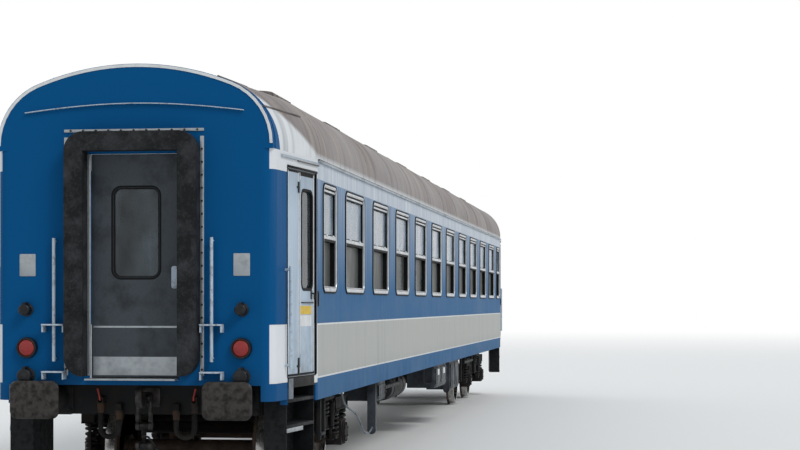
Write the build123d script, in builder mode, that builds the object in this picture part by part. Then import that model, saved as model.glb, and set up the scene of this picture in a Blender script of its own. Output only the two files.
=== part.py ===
from build123d import *
from math import atan, atan2, cos, pi, sin
import os

# A four-axle passenger coach with tapered ends, folding entrance doors and rubber gangways.
# +X runs along the coach to its far end, +Z is up, and the side at -Y is its right side.
# Lengths are in millimetres. Heights are given above the top of the rail, and up() turns
# them into model heights, whose zero is at the tips of the wheel flanges.

# Driving dimensions of the body
BODY_LENGTH = 24200.0
BUFFER_REACH = 150.0
BODY_WIDTH = 2825.0
END_LENGTH = 1365.0
END_INSET = 150.0
CORNER_RADIUS = 120.0
WALL = 70.0
SKIRT_BOTTOM = 1000.0
POST_BOTTOM = 1050.0
FLOOR_TOP = 1250.0
FLOOR_THICK = 60.0
EAVE = 3285.0
ROOF_TOP = 4050.0
ROOF_WALL = 70.0
SHOULDER_RADIUS = 590.0
SHOULDER_RISE = 45.0
SEAT_GAP = 0.3

# Windows; there are as many wide ones as bays that fit between the two narrow ones
WINDOW_PITCH = 1895.0
WINDOW_WIDTH = 1250.0
WINDOW_BOTTOM = 2030.0
WINDOW_TOP = 3080.0
WINDOW_RADIUS = 100.0
END_WINDOW_INSET = 650.0
END_WINDOW_WIDTH = 770.0
PARTITION_THICK = 40.0
FRAME_WIDTH = 43.0
FRAME_PROUD = 8.0
FRAME_DEPTH = 64.0
BAR_CENTRE = 2560.0
BAR_HEIGHT = 59.0
BAR_DEPTH = 56.0
SASH_DEPTH = 26.0
RAIL_BOTTOM = 2990.0
RAIL_HEIGHT = 32.0
GLASS_THICK = 6.0

# Entrance doors, measured along the tapered side from the jamb at the coach's end
DOOR_POST = 415.0
DOOR_OPENING = 880.0
DOOR_HEAD = 3146.0
DOOR_BOTTOM = 1257.0
DOOR_TOP = 3138.0
DOOR_RECESS = 12.0
DOOR_THICK = 40.0
HINGE_REACH = 8.0
KNUCKLE_RADIUS = 7.7
KNUCKLE_LENGTH = 120.0
KNUCKLE_HEIGHTS = (1390.0, 2200.0, 3000.0)
FOLD_AT = 400.0
FOLD_GAP = 6.0
FOLD_PROUD = 8.0
FREE_GAP = 14.0
DOOR_WINDOW_WIDTH = 340.0
DOOR_WINDOW_BOTTOM = 2050.0
DOOR_WINDOW_TOP = 2970.0
DOOR_WINDOW_RADIUS = 70.0

# Gangway: the passage in the end wall, its sliding door and its rubber bellows
GANGWAY_WIDTH = 820.0
GANGWAY_TOP = 3250.0
END_WALL_SHOULDER = 1150.0
SLIDE_DOOR_WIDTH = 860.0
SLIDE_DOOR_THICK = 40.0
SLIDE_DOOR_GAP = 6.0
SLIDE_DOOR_TOP = 3275.0
SLIDE_RAIL_BOTTOM = 3290.0
SLIDE_RAIL_TOP = 3340.0
SLIDE_RAIL_PAST = 731.0
BELLOWS_INNER = 430.0
BELLOWS_TUBE = 170.0
BELLOWS_BOTTOM = 1270.0
BELLOWS_TOP = 3270.0

# Bogies and wheelsets
BOGIE_OVERHANG = 3500.0
WHEELBASE = 2500.0
WHEEL_RADIUS = 460.0
FLANGE = 28.0
WHEEL_BACK = 680.0
WHEEL_WIDTH = 135.0
FLANGE_WIDTH = 32.0
RIM_THICK = 65.0
WEB_THICK = 28.0
HUB_RADIUS = 130.0
HUB_END = 860.0
AXLE_RADIUS = 85.0
COLLAR_END = 905.0
JOURNAL_RADIUS = 65.0
JOURNAL_END = 1080.0
BEARING_GAP = 0.5
BOX_Y = 1000.0

# Buffers and draw gear
HEADSTOCK_INSET = 500.0
BUFFER_Y = 875.0
BUFFER_Z = 1060.0

# Worked out from the driving dimensions
BODY_HALF = BODY_LENGTH / 2
BUFFER_LENGTH = BODY_LENGTH + 2 * BUFFER_REACH
FACE_HALF = BUFFER_LENGTH / 2
HALF_WIDTH = BODY_WIDTH / 2
STRAIGHT_LENGTH = BODY_LENGTH - 2 * END_LENGTH
STRAIGHT_HALF = STRAIGHT_LENGTH / 2
END_WINDOW_X = STRAIGHT_HALF - END_WINDOW_INSET
SALOON_ROOM = 2 * (END_WINDOW_X - END_WINDOW_WIDTH / 2 - PARTITION_THICK)
WINDOW_COUNT = int(SALOON_ROOM / WINDOW_PITCH)
SALOON_HALF = WINDOW_COUNT * WINDOW_PITCH / 2
DOOR_JAMB_X = BODY_HALF - DOOR_POST
BOGIE_X = BODY_HALF - BOGIE_OVERHANG
HEADSTOCK_X = BODY_HALF - HEADSTOCK_INSET
TAPER = END_INSET / END_LENGTH
TAPER_ANGLE = atan(TAPER)
WALL_ACROSS = WALL / cos(TAPER_ANGLE)
INNER_HALF = HALF_WIDTH - WALL
END_WALL_X = BODY_HALF - WALL
FLOOR_UNDER = FLOOR_TOP - FLOOR_THICK
AXLE_OFFSET = WHEELBASE / 2
ENDS = (("near", -1), ("far", 1))
SIDES = (("right", -1), ("left", 1))
CORNERS = [(end, side, ex, sy) for end, ex in ENDS for side, sy in SIDES]


def up(height):
    """Model height of a point that is given above the top of the rail."""
    return FLANGE + height


def half_at(x):
    """Half width of the body's outer face at a distance x from its middle."""
    return HALF_WIDTH - (abs(x) - STRAIGHT_HALF) * TAPER


def block(x0, x1, y0, y1, z0, z1, mode=Mode.ADD):
    """A box between two corners, its heights above the rail."""
    with Locations(((x0 + x1) / 2, (y0 + y1) / 2, up((z0 + z1) / 2))):
        Box(abs(x1 - x0), abs(y1 - y0), abs(z1 - z0), mode=mode)


def rod(centre, radius, length, direction, mode=Mode.ADD):
    """A round bar about a point, its height above the rail, along X, Y or Z."""
    turn = {"X": (0, 90, 0), "Y": (90, 0, 0), "Z": (0, 0, 0)}[direction]
    with Locations(Location((centre[0], centre[1], up(centre[2])), turn)):
        Cylinder(radius, length, mode=mode)


def arch_face(half, inset, foot, mode=Mode.ADD):
    """The face under the roof's arch, set in from its outside and standing on a height."""
    side = half - SHOULDER_RADIUS
    shoulder_z = EAVE + SHOULDER_RISE
    fall = shoulder_z - ROOF_TOP
    crown = (SHOULDER_RADIUS**2 - side**2 - fall**2) / (2 * (fall + SHOULDER_RADIUS))
    lean = atan2(side, shoulder_z - ROOF_TOP + crown)
    radius = SHOULDER_RADIUS - inset

    def on_shoulder(angle):
        return side + radius * cos(angle), up(shoulder_z) + radius * sin(angle)

    edge = on_shoulder(0)
    middle = on_shoulder((pi / 2 - lean) / 2)
    meet = on_shoulder(pi / 2 - lean)
    with BuildLine() as outline:
        Line((edge[0], up(foot)), edge)
        ThreePointArc(edge, middle, meet)
        ThreePointArc(meet, (0, up(ROOF_TOP) - inset), (-meet[0], meet[1]))
        ThreePointArc((-meet[0], meet[1]), (-middle[0], middle[1]), (-edge[0], edge[1]))
        Polyline((-edge[0], edge[1]), (-edge[0], up(foot)), (edge[0], up(foot)))
    make_face(outline.edges(), mode=mode)


def side_plane(sy, inset):
    """A plane beside the straight wall, local x along +X and local y up."""
    return Plane.XZ.offset(-sy * (HALF_WIDTH - inset))


def door_plane(ex, sy, inset):
    """A plane in an entrance door, local x from its end jamb to the coach's middle, y up."""
    along = Vector(-ex * cos(TAPER_ANGLE), sy * sin(TAPER_ANGLE), 0)
    outward = Vector(ex * sin(TAPER_ANGLE), sy * cos(TAPER_ANGLE), 0)
    corner = Vector(ex * DOOR_JAMB_X, sy * half_at(DOOR_JAMB_X), 0)
    return Plane(origin=corner - outward * inset, x_dir=along, z_dir=outward * (ex * sy))


def inward(ex, sy, depth):
    """Signed amount that extrudes from a door plane towards the coach's inside."""
    return -ex * sy * depth


def window_table():
    """Each window of a side as its centre along X and its width."""
    first = -(WINDOW_COUNT - 1) / 2 * WINDOW_PITCH
    wide = [(first + i * WINDOW_PITCH, WINDOW_WIDTH) for i in range(WINDOW_COUNT)]
    return wide + [(ex * END_WINDOW_X, END_WINDOW_WIDTH) for _, ex in ENDS]


def finish(builder, name):
    """Label a finished piece and write it."""
    builder.part.label = name
    export_step(builder.part, f"parts/{name}.step")


WINDOWS = window_table()
WINDOW_MIDDLE = (WINDOW_BOTTOM + WINDOW_TOP) / 2
WINDOW_HEIGHT = WINDOW_TOP - WINDOW_BOTTOM
os.makedirs("parts", exist_ok=True)


# Body shell

for side, sy in SIDES:
    with BuildPart() as side_wall:
        with BuildSketch(side_plane(sy, 0)):
            with Locations((0, up((SKIRT_BOTTOM + EAVE) / 2))):
                Rectangle(STRAIGHT_LENGTH, EAVE - SKIRT_BOTTOM)
            for x, width in WINDOWS:
                with Locations((x, up(WINDOW_MIDDLE))):
                    RectangleRounded(width, WINDOW_HEIGHT, WINDOW_RADIUS, mode=Mode.SUBTRACT)
        extrude(amount=sy * WALL)
    finish(side_wall, f"side_wall_{side}")

with BuildPart() as roof:
    with BuildSketch(Plane.YZ.offset(-STRAIGHT_HALF)):
        arch_face(HALF_WIDTH, 0, EAVE)
        arch_face(HALF_WIDTH, ROOF_WALL, EAVE, Mode.SUBTRACT)
    extrude(amount=STRAIGHT_LENGTH)
    for _, ex in ENDS:
        for x in (STRAIGHT_HALF, END_WALL_X):
            with BuildSketch(Plane.YZ.offset(ex * x)):
                arch_face(half_at(x), 0, EAVE)
                arch_face(half_at(x), ROOF_WALL, EAVE, Mode.SUBTRACT)
        loft()
finish(roof, "roof")


def plan_face(ex, inset, across, radius, start, mode=Mode.ADD):
    """Plan of a tapered end, set in by its wall, from a distance start to its end wall."""
    tip = BODY_HALF - inset
    with BuildLine() as outline:
        Polyline(
            (ex * start, half_at(start) - across),
            (ex * tip, half_at(tip) - across),
            (ex * tip, across - half_at(tip)),
            (ex * start, across - half_at(start)),
            close=True,
        )
    plan = make_face(outline.edges(), mode=Mode.PRIVATE).face()
    corners = plan.vertices().group_by(Axis.X)[-1 if ex > 0 else 0]
    add(plan.fillet_2d(radius, corners), mode=mode)


for end, ex in ENDS:
    with BuildPart() as vestibule:
        with BuildSketch(Plane.XY.offset(up(SKIRT_BOTTOM))):
            plan_face(ex, 0, 0, CORNER_RADIUS, STRAIGHT_HALF)
            plan_face(ex, WALL, WALL_ACROSS, CORNER_RADIUS - WALL, STRAIGHT_HALF - 1, Mode.SUBTRACT)
        extrude(amount=EAVE - SKIRT_BOTTOM)
        with BuildSketch(Plane.YZ.offset(ex * END_WALL_X)):
            arch_face(half_at(BODY_HALF), 0, EAVE)
        extrude(amount=ex * WALL)
        reach = HALF_WIDTH + WALL
        for sy in (-1, 1):
            with BuildSketch(door_plane(ex, sy, -WALL)):
                for low, high in ((SKIRT_BOTTOM - WALL, FLOOR_UNDER), (FLOOR_TOP, DOOR_HEAD)):
                    with Locations((DOOR_OPENING / 2, up((low + high) / 2))):
                        Rectangle(DOOR_OPENING, high - low)
            extrude(amount=inward(ex, sy, 3 * WALL), mode=Mode.SUBTRACT)
        block(ex * DOOR_JAMB_X, ex * FACE_HALF, -reach, reach, SKIRT_BOTTOM, POST_BOTTOM,
              Mode.SUBTRACT)
        block(ex * DOOR_JAMB_X, ex * FACE_HALF, -END_WALL_SHOULDER, END_WALL_SHOULDER,
              POST_BOTTOM, FLOOR_UNDER, Mode.SUBTRACT)
        block(ex * (END_WALL_X - WALL), ex * FACE_HALF, -GANGWAY_WIDTH / 2, GANGWAY_WIDTH / 2,
              FLOOR_TOP, GANGWAY_TOP, Mode.SUBTRACT)
        rail_inner = END_WALL_X - SLIDE_DOOR_GAP - SLIDE_DOOR_THICK
        block(ex * rail_inner, ex * END_WALL_X, -SLIDE_DOOR_WIDTH / 2,
              SLIDE_DOOR_WIDTH / 2 + SLIDE_RAIL_PAST, SLIDE_RAIL_BOTTOM, SLIDE_RAIL_TOP)
    finish(vestibule, f"vestibule_{end}")

with BuildPart() as floor:
    with BuildSketch(Plane.XY.offset(up(FLOOR_UNDER))):
        Rectangle(STRAIGHT_LENGTH, 2 * (HALF_WIDTH - WALL_ACROSS))
        for _, ex in ENDS:
            plan_face(ex, WALL, WALL_ACROSS, CORNER_RADIUS - WALL, STRAIGHT_HALF)
    extrude(amount=FLOOR_THICK)
finish(floor, "floor")

# Underframe: solebars, end members, headstocks, body bolsters with their pivot pins
SOLEBAR_WIDTH = 80.0
CROSS_WIDTH = 120.0
CROSS_BOTTOM = 1080.0
INNER_BEAM_Y = 620.0
INNER_BEAM_WIDTH = 100.0
INNER_BEAM_LENGTH = 2200.0
INNER_BEAM_START = HEADSTOCK_X - INNER_BEAM_LENGTH
HEADSTOCK_THICK = 90.0
HEADSTOCK_HALF = 1060.0
HEADSTOCK_BOTTOM = 900.0
BODY_BOLSTER_BOTTOM = 1030.0
BODY_BOLSTER_LENGTH = 520.0
PIVOT_RADIUS = 60.0
PIVOT_BOTTOM = 890.0
with BuildPart() as underframe:
    for sy in (-1, 1):
        block(-STRAIGHT_HALF, STRAIGHT_HALF, sy * (INNER_HALF - SOLEBAR_WIDTH), sy * INNER_HALF,
              SKIRT_BOTTOM, FLOOR_UNDER)
    for i in range(WINDOW_COUNT + 1):
        x = (i - WINDOW_COUNT / 2) * WINDOW_PITCH
        block(x - CROSS_WIDTH / 2, x + CROSS_WIDTH / 2, -INNER_HALF, INNER_HALF,
              CROSS_BOTTOM, FLOOR_UNDER)
    for ex in (-1, 1):
        block(ex * (STRAIGHT_HALF - CROSS_WIDTH), ex * STRAIGHT_HALF, -INNER_HALF, INNER_HALF,
              SKIRT_BOTTOM, FLOOR_UNDER)
        for sy in (-1, 1):
            block(ex * INNER_BEAM_START, ex * HEADSTOCK_X, sy * (INNER_BEAM_Y - INNER_BEAM_WIDTH),
                  sy * INNER_BEAM_Y, SKIRT_BOTTOM, FLOOR_UNDER)
        block(ex * (HEADSTOCK_X - HEADSTOCK_THICK), ex * HEADSTOCK_X, -HEADSTOCK_HALF,
              HEADSTOCK_HALF, HEADSTOCK_BOTTOM, FLOOR_UNDER)
        block(ex * BOGIE_X - BODY_BOLSTER_LENGTH / 2, ex * BOGIE_X + BODY_BOLSTER_LENGTH / 2,
              -INNER_HALF, INNER_HALF, BODY_BOLSTER_BOTTOM, FLOOR_UNDER)
        rod((ex * BOGIE_X, 0, (PIVOT_BOTTOM + FLOOR_UNDER) / 2), PIVOT_RADIUS,
            FLOOR_UNDER - PIVOT_BOTTOM, "Z")
finish(underframe, "underframe")

# Windows: a frame with its middle bar and sash rail, and the glass behind them

with BuildPart() as window_frames:
    for side, sy in SIDES:
        with BuildSketch(side_plane(sy, -FRAME_PROUD)):
            for x, width in WINDOWS:
                with Locations((x, up(WINDOW_MIDDLE))):
                    RectangleRounded(width - 2 * SEAT_GAP, WINDOW_HEIGHT - 2 * SEAT_GAP,
                                     WINDOW_RADIUS - SEAT_GAP)
                    RectangleRounded(width - 2 * FRAME_WIDTH, WINDOW_HEIGHT - 2 * FRAME_WIDTH,
                                     WINDOW_RADIUS - FRAME_WIDTH, mode=Mode.SUBTRACT)
        extrude(amount=sy * (FRAME_PROUD + FRAME_DEPTH))
        with BuildSketch(side_plane(sy, 0)):
            for x, width in WINDOWS:
                with Locations((x, up(BAR_CENTRE))):
                    Rectangle(width - FRAME_WIDTH, BAR_HEIGHT)
        extrude(amount=sy * BAR_DEPTH)
        with BuildSketch(side_plane(sy, 0)):
            for x, width in WINDOWS:
                with Locations((x, up(RAIL_BOTTOM + RAIL_HEIGHT / 2))):
                    Rectangle(width - FRAME_WIDTH, RAIL_HEIGHT)
        extrude(amount=sy * SASH_DEPTH)
finish(window_frames, "window_frames")

# The drop pane slides behind the sash rail and over the bar; the lower pane is fixed behind it
PANE_INSET = FRAME_WIDTH + SEAT_GAP
DROP_PANE = (BAR_CENTRE + BAR_HEIGHT / 2 + SEAT_GAP, WINDOW_TOP - PANE_INSET, SASH_DEPTH)
FIXED_PANE = (WINDOW_BOTTOM + PANE_INSET, BAR_CENTRE + BAR_HEIGHT / 2, BAR_DEPTH)
with BuildPart() as window_glass:
    for side, sy in SIDES:
        for low, high, behind in (DROP_PANE, FIXED_PANE):
            with BuildSketch(side_plane(sy, behind + SEAT_GAP)):
                for x, width in WINDOWS:
                    with Locations((x, up(WINDOW_MIDDLE))):
                        RectangleRounded(width - 2 * PANE_INSET, WINDOW_HEIGHT - 2 * PANE_INSET,
                                         WINDOW_RADIUS - PANE_INSET)
                with Locations((0, up((low + high) / 2))):
                    Rectangle(STRAIGHT_LENGTH, high - low, mode=Mode.INTERSECT)
            extrude(amount=sy * GLASS_THICK)
finish(window_glass, "window_glass")

# Entrance doors: a narrow leaf hinged on the corner post and a wide leaf folding from it
LEAF_INNER = DOOR_RECESS + DOOR_THICK
FOLD_INSET = DOOR_RECESS - FOLD_PROUD
NARROW_END = FOLD_AT - FOLD_GAP / 2
WIDE_START = FOLD_AT + FOLD_GAP / 2
WIDE_END = DOOR_OPENING - FREE_GAP
WIDE_MIDDLE = (WIDE_START + WIDE_END) / 2
DOOR_MIDDLE = (DOOR_BOTTOM + DOOR_TOP) / 2
DOOR_WINDOW_MIDDLE = (DOOR_WINDOW_BOTTOM + DOOR_WINDOW_TOP) / 2
DOOR_WINDOW_HEIGHT = DOOR_WINDOW_TOP - DOOR_WINDOW_BOTTOM


def knuckles(ex, sy, at, inset):
    """Hinge knuckles about an upright line in a door, at a place along it and a depth."""
    spot = door_plane(ex, sy, inset).from_local_coords(Vector(at, 0, 0))
    for height in KNUCKLE_HEIGHTS:
        rod((spot.X, spot.Y, height), KNUCKLE_RADIUS, KNUCKLE_LENGTH, "Z")


for end, side, ex, sy in CORNERS:
    with BuildPart() as narrow_leaf:
        with BuildSketch(door_plane(ex, sy, DOOR_RECESS)):
            with Locations(((HINGE_REACH + NARROW_END) / 2, up(DOOR_MIDDLE))):
                Rectangle(NARROW_END - HINGE_REACH, DOOR_TOP - DOOR_BOTTOM)
        extrude(amount=inward(ex, sy, DOOR_THICK))
        knuckles(ex, sy, HINGE_REACH, LEAF_INNER)
        with BuildSketch(door_plane(ex, sy, FOLD_INSET)):
            for height in KNUCKLE_HEIGHTS:
                with Locations((NARROW_END - KNUCKLE_RADIUS, up(height))):
                    Rectangle(2 * KNUCKLE_RADIUS, KNUCKLE_LENGTH)
        extrude(amount=inward(ex, sy, FOLD_PROUD))
        knuckles(ex, sy, FOLD_AT, FOLD_INSET)
    finish(narrow_leaf, f"door_narrow_leaf_{end}_{side}")

    with BuildPart() as wide_leaf:
        with BuildSketch(door_plane(ex, sy, DOOR_RECESS)):
            with Locations((WIDE_MIDDLE, up(DOOR_MIDDLE))):
                Rectangle(WIDE_END - WIDE_START, DOOR_TOP - DOOR_BOTTOM)
            with Locations((WIDE_MIDDLE, up(DOOR_WINDOW_MIDDLE))):
                RectangleRounded(DOOR_WINDOW_WIDTH, DOOR_WINDOW_HEIGHT, DOOR_WINDOW_RADIUS,
                                 mode=Mode.SUBTRACT)
        extrude(amount=inward(ex, sy, DOOR_THICK))
    finish(wide_leaf, f"door_wide_leaf_{end}_{side}")

    with BuildPart() as door_glass:
        with BuildSketch(door_plane(ex, sy, DOOR_RECESS + DOOR_THICK / 2)):
            with Locations((WIDE_MIDDLE, up(DOOR_WINDOW_MIDDLE))):
                RectangleRounded(DOOR_WINDOW_WIDTH - 2 * SEAT_GAP,
                                 DOOR_WINDOW_HEIGHT - 2 * SEAT_GAP, DOOR_WINDOW_RADIUS - SEAT_GAP)
        extrude(amount=inward(ex, sy, GLASS_THICK))
    finish(door_glass, f"door_glass_{end}_{side}")
    axis_at = door_plane(ex, sy, LEAF_INNER).from_local_coords(Vector(HINGE_REACH, 0, 0))
    fold_at = door_plane(ex, sy, FOLD_INSET).from_local_coords(Vector(FOLD_AT, 0, 0))
    print(f"{end} {side} leaf axis {axis_at.X:.3f} {axis_at.Y:.3f} fold {fold_at.X:.3f} {fold_at.Y:.3f}")

# Gangway: sliding door with its glass and hangers, bellows and threshold plate
SLIDE_DOOR_OUT = END_WALL_X - SLIDE_DOOR_GAP
SLIDE_WINDOW_WIDTH = 420.0
SLIDE_WINDOW_BOTTOM = 2150.0
SLIDE_WINDOW_TOP = 2950.0
HANGER_Y = 300.0
HANGER_WIDTH = 90.0
HANGER_THICK = 14.0
for end, ex in ENDS:
    with BuildPart() as gangway_door:
        with BuildSketch(Plane.YZ.offset(ex * SLIDE_DOOR_OUT)):
            with Locations((0, up((DOOR_BOTTOM + SLIDE_DOOR_TOP) / 2))):
                Rectangle(SLIDE_DOOR_WIDTH, SLIDE_DOOR_TOP - DOOR_BOTTOM)
            with Locations((0, up((SLIDE_WINDOW_BOTTOM + SLIDE_WINDOW_TOP) / 2))):
                RectangleRounded(SLIDE_WINDOW_WIDTH, SLIDE_WINDOW_TOP - SLIDE_WINDOW_BOTTOM,
                                 DOOR_WINDOW_RADIUS, mode=Mode.SUBTRACT)
        extrude(amount=-ex * SLIDE_DOOR_THICK)
        middle_x = SLIDE_DOOR_OUT - SLIDE_DOOR_THICK / 2
        for sy in (-1, 1):
            block(ex * (middle_x - HANGER_THICK / 2), ex * (middle_x + HANGER_THICK / 2),
                  sy * HANGER_Y - HANGER_WIDTH / 2, sy * HANGER_Y + HANGER_WIDTH / 2,
                  SLIDE_DOOR_TOP, SLIDE_RAIL_BOTTOM - SEAT_GAP)
    finish(gangway_door, f"gangway_door_{end}")

    with BuildPart() as gangway_door_glass:
        with BuildSketch(Plane.YZ.offset(ex * (SLIDE_DOOR_OUT - SLIDE_DOOR_THICK / 2))):
            with Locations((0, up((SLIDE_WINDOW_BOTTOM + SLIDE_WINDOW_TOP) / 2))):
                RectangleRounded(SLIDE_WINDOW_WIDTH - 2 * SEAT_GAP,
                                 SLIDE_WINDOW_TOP - SLIDE_WINDOW_BOTTOM - 2 * SEAT_GAP,
                                 DOOR_WINDOW_RADIUS - SEAT_GAP)
        extrude(amount=-ex * GLASS_THICK)
    finish(gangway_door_glass, f"gangway_door_glass_{end}")

with BuildPart() as gangway_bellows:
    outer = BELLOWS_INNER + BELLOWS_TUBE
    for _, ex in ENDS:
        with BuildSketch(Plane.YZ.offset(ex * BODY_HALF)):
            with Locations((0, up((BELLOWS_BOTTOM + BELLOWS_TOP + BELLOWS_TUBE) / 2))):
                RectangleRounded(2 * outer, BELLOWS_TOP + BELLOWS_TUBE - BELLOWS_BOTTOM, BELLOWS_TUBE)
            with Locations((0, up((BELLOWS_BOTTOM - BELLOWS_TUBE + BELLOWS_TOP) / 2))):
                Rectangle(2 * BELLOWS_INNER, BELLOWS_TOP + BELLOWS_TUBE - BELLOWS_BOTTOM,
                          mode=Mode.SUBTRACT)
        extrude(amount=ex * (FACE_HALF - BODY_HALF))
finish(gangway_bellows, "gangway_bellows")

# Buffers and draw gear at the headstocks
CASING_RADIUS = 125.0
CASING_LENGTH = 400.0
BASE_SIZE = 330.0
BASE_THICK = 25.0
PLUNGER_RADIUS = 98.0
HEAD_WIDTH = 450.0
HEAD_HEIGHT = 340.0
HEAD_THICK = 40.0
HEAD_CORNER = 70.0
BASE_RISE = 120.0
with BuildPart() as buffer_casings:
    for _, ex in ENDS:
        for sy in (-1, 1):
            block(ex * HEADSTOCK_X, ex * (HEADSTOCK_X + BASE_THICK), sy * BUFFER_Y - BASE_SIZE / 2,
                  sy * BUFFER_Y + BASE_SIZE / 2, BUFFER_Z - BASE_SIZE / 2, BUFFER_Z + BASE_RISE)
            rod((ex * (HEADSTOCK_X + CASING_LENGTH / 2), sy * BUFFER_Y, BUFFER_Z), CASING_RADIUS,
                CASING_LENGTH, "X")
finish(buffer_casings, "buffer_casings")

with BuildPart() as buffer_heads:
    plunger_start = HEADSTOCK_X + CASING_LENGTH
    plunger_length = FACE_HALF - HEAD_THICK - plunger_start
    for _, ex in ENDS:
        for sy in (-1, 1):
            rod((ex * (plunger_start + plunger_length / 2), sy * BUFFER_Y, BUFFER_Z),
                PLUNGER_RADIUS, plunger_length, "X")
        with BuildSketch(Plane.YZ.offset(ex * (FACE_HALF - HEAD_THICK))):
            with Locations(*[(sy * BUFFER_Y, up(BUFFER_Z)) for sy in (-1, 1)]):
                RectangleRounded(HEAD_WIDTH, HEAD_HEIGHT, HEAD_CORNER)
        extrude(amount=ex * HEAD_THICK)
finish(buffer_heads, "buffer_heads")

HOOK_THICK = 60.0
HOOK_RADIUS = 95.0
HOOK_MOUTH = 42.0
HOOK_REACH = 270.0
HOOK_X = HEADSTOCK_X + HOOK_REACH
SHACKLE_REACH = 160.0
SHACKLE_X = HEADSTOCK_X + SHACKLE_REACH
NOTCH_RISE = 75.6
NOTCH_SIZE = 67.2
LINK_Y = 55.0
LINK_THICK = 24.0
PIN_RADIUS = 30.0
HOOK_PIN_RADIUS = 26.0
SCREW_RADIUS = 24.0
UPPER_PIN_Z = 805.0
LOWER_PIN_Z = 625.0
BOW_PIN_Z = 455.0
UPPER_LINK_HALF = 30.0
LOWER_LINK_HALF = 22.0
LINK_END = 15.0
with BuildPart() as draw_gear:
    for _, ex in ENDS:
        with BuildSketch(Plane.XZ.offset(-HOOK_THICK / 2)):
            with Locations((ex * (HEADSTOCK_X + HOOK_X) / 2, up(BUFFER_Z))):
                Rectangle(HOOK_X - HEADSTOCK_X, HOOK_RADIUS)
            with Locations((ex * HOOK_X, up(BUFFER_Z))):
                Circle(HOOK_RADIUS)
            with Locations((ex * (HOOK_X + HOOK_MOUTH / 2), up(BUFFER_Z + HOOK_MOUTH))):
                Circle(HOOK_MOUTH, mode=Mode.SUBTRACT)
            with Locations((ex * HOOK_X, up(BUFFER_Z + NOTCH_RISE))):
                Rectangle(NOTCH_SIZE, NOTCH_SIZE, mode=Mode.SUBTRACT)
        extrude(amount=HOOK_THICK)
        rod((ex * SHACKLE_X, 0, BUFFER_Z), HOOK_PIN_RADIUS, 2 * LINK_Y + LINK_THICK, "Y")
        for sy in (-1, 1):
            for half, low, high in ((UPPER_LINK_HALF, UPPER_PIN_Z - LINK_END, BUFFER_Z + PIN_RADIUS),
                                    (LOWER_LINK_HALF, BOW_PIN_Z - LINK_END, LOWER_PIN_Z + LINK_END)):
                block(ex * (SHACKLE_X - half), ex * (SHACKLE_X + half), sy * LINK_Y - LINK_THICK / 2,
                      sy * LINK_Y + LINK_THICK / 2, low, high)
        for height in (UPPER_PIN_Z, LOWER_PIN_Z, BOW_PIN_Z):
            rod((ex * SHACKLE_X, 0, height), PIN_RADIUS, 2 * LINK_Y + LINK_THICK, "Y")
        rod((ex * SHACKLE_X, 0, (UPPER_PIN_Z + LOWER_PIN_Z) / 2), SCREW_RADIUS,
            UPPER_PIN_Z - LOWER_PIN_Z, "Z")
finish(draw_gear, "draw_gear")

# Brake hoses, each from its cock down and back up to its holder
HOSE_RADIUS = 24.0
HOSE_REACH = 55.0
HOSE_X = HEADSTOCK_X + HOSE_REACH
HOSE_BEND = 85.0
HOSE_TOP = 1000.0
HOSE_LOW = 780.0
HOSE_HOLD = 940.0
HOSE_Y = 440.0
COCK_SIZE = 60.0
with BuildPart() as brake_hoses:
    for _, ex in ENDS:
        for sy in (-1, 1):
            cock_y = sy * HOSE_Y
            hold_y = cock_y - sy * 2 * HOSE_BEND
            with BuildLine(Plane.YZ.offset(ex * HOSE_X)) as route:
                Line((cock_y, up(HOSE_TOP)), (cock_y, up(HOSE_LOW)))
                ThreePointArc((cock_y, up(HOSE_LOW)), (cock_y - sy * HOSE_BEND, up(HOSE_LOW - HOSE_BEND)),
                              (hold_y, up(HOSE_LOW)))
                Line((hold_y, up(HOSE_LOW)), (hold_y, up(HOSE_HOLD)))
            with BuildSketch(Plane(origin=route.wires()[0] @ 0, z_dir=route.wires()[0] % 0)):
                Circle(HOSE_RADIUS)
            sweep(path=route.wires()[0])
            for y, low in ((cock_y, HOSE_TOP), (hold_y, HOSE_HOLD)):
                block(ex * HEADSTOCK_X, ex * (HOSE_X + COCK_SIZE / 2), y - COCK_SIZE / 2,
                      y + COCK_SIZE / 2, low, low + COCK_SIZE)
finish(brake_hoses, "brake_hoses")

# Entrance steps under the doors: two cheeks, a back plate and the treads
STEP_DEPTH = 200.0
STEP_INSET = 15.0
CHEEK = 12.0
TREAD = 25.0
TREAD_HEIGHTS = (500.0, 795.0, 1030.0)
STEP_LOW = 470.0
with BuildPart() as entrance_steps:
    for _, _, ex, sy in CORNERS:
        with BuildSketch(door_plane(ex, sy, STEP_INSET)):
            for at in (CHEEK, DOOR_OPENING - CHEEK):
                with Locations((at, up((STEP_LOW + FLOOR_UNDER) / 2))):
                    Rectangle(CHEEK, FLOOR_UNDER - STEP_LOW)
            for height in TREAD_HEIGHTS:
                with Locations((DOOR_OPENING / 2, up(height))):
                    Rectangle(DOOR_OPENING - 2 * CHEEK, TREAD)
        extrude(amount=inward(ex, sy, STEP_DEPTH))
        with BuildSketch(door_plane(ex, sy, STEP_INSET + STEP_DEPTH)):
            with Locations((DOOR_OPENING / 2, up((STEP_LOW + FLOOR_UNDER) / 2))):
                Rectangle(DOOR_OPENING - CHEEK, FLOOR_UNDER - STEP_LOW)
        extrude(amount=inward(ex, sy, CHEEK))
finish(entrance_steps, "entrance_steps")

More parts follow.
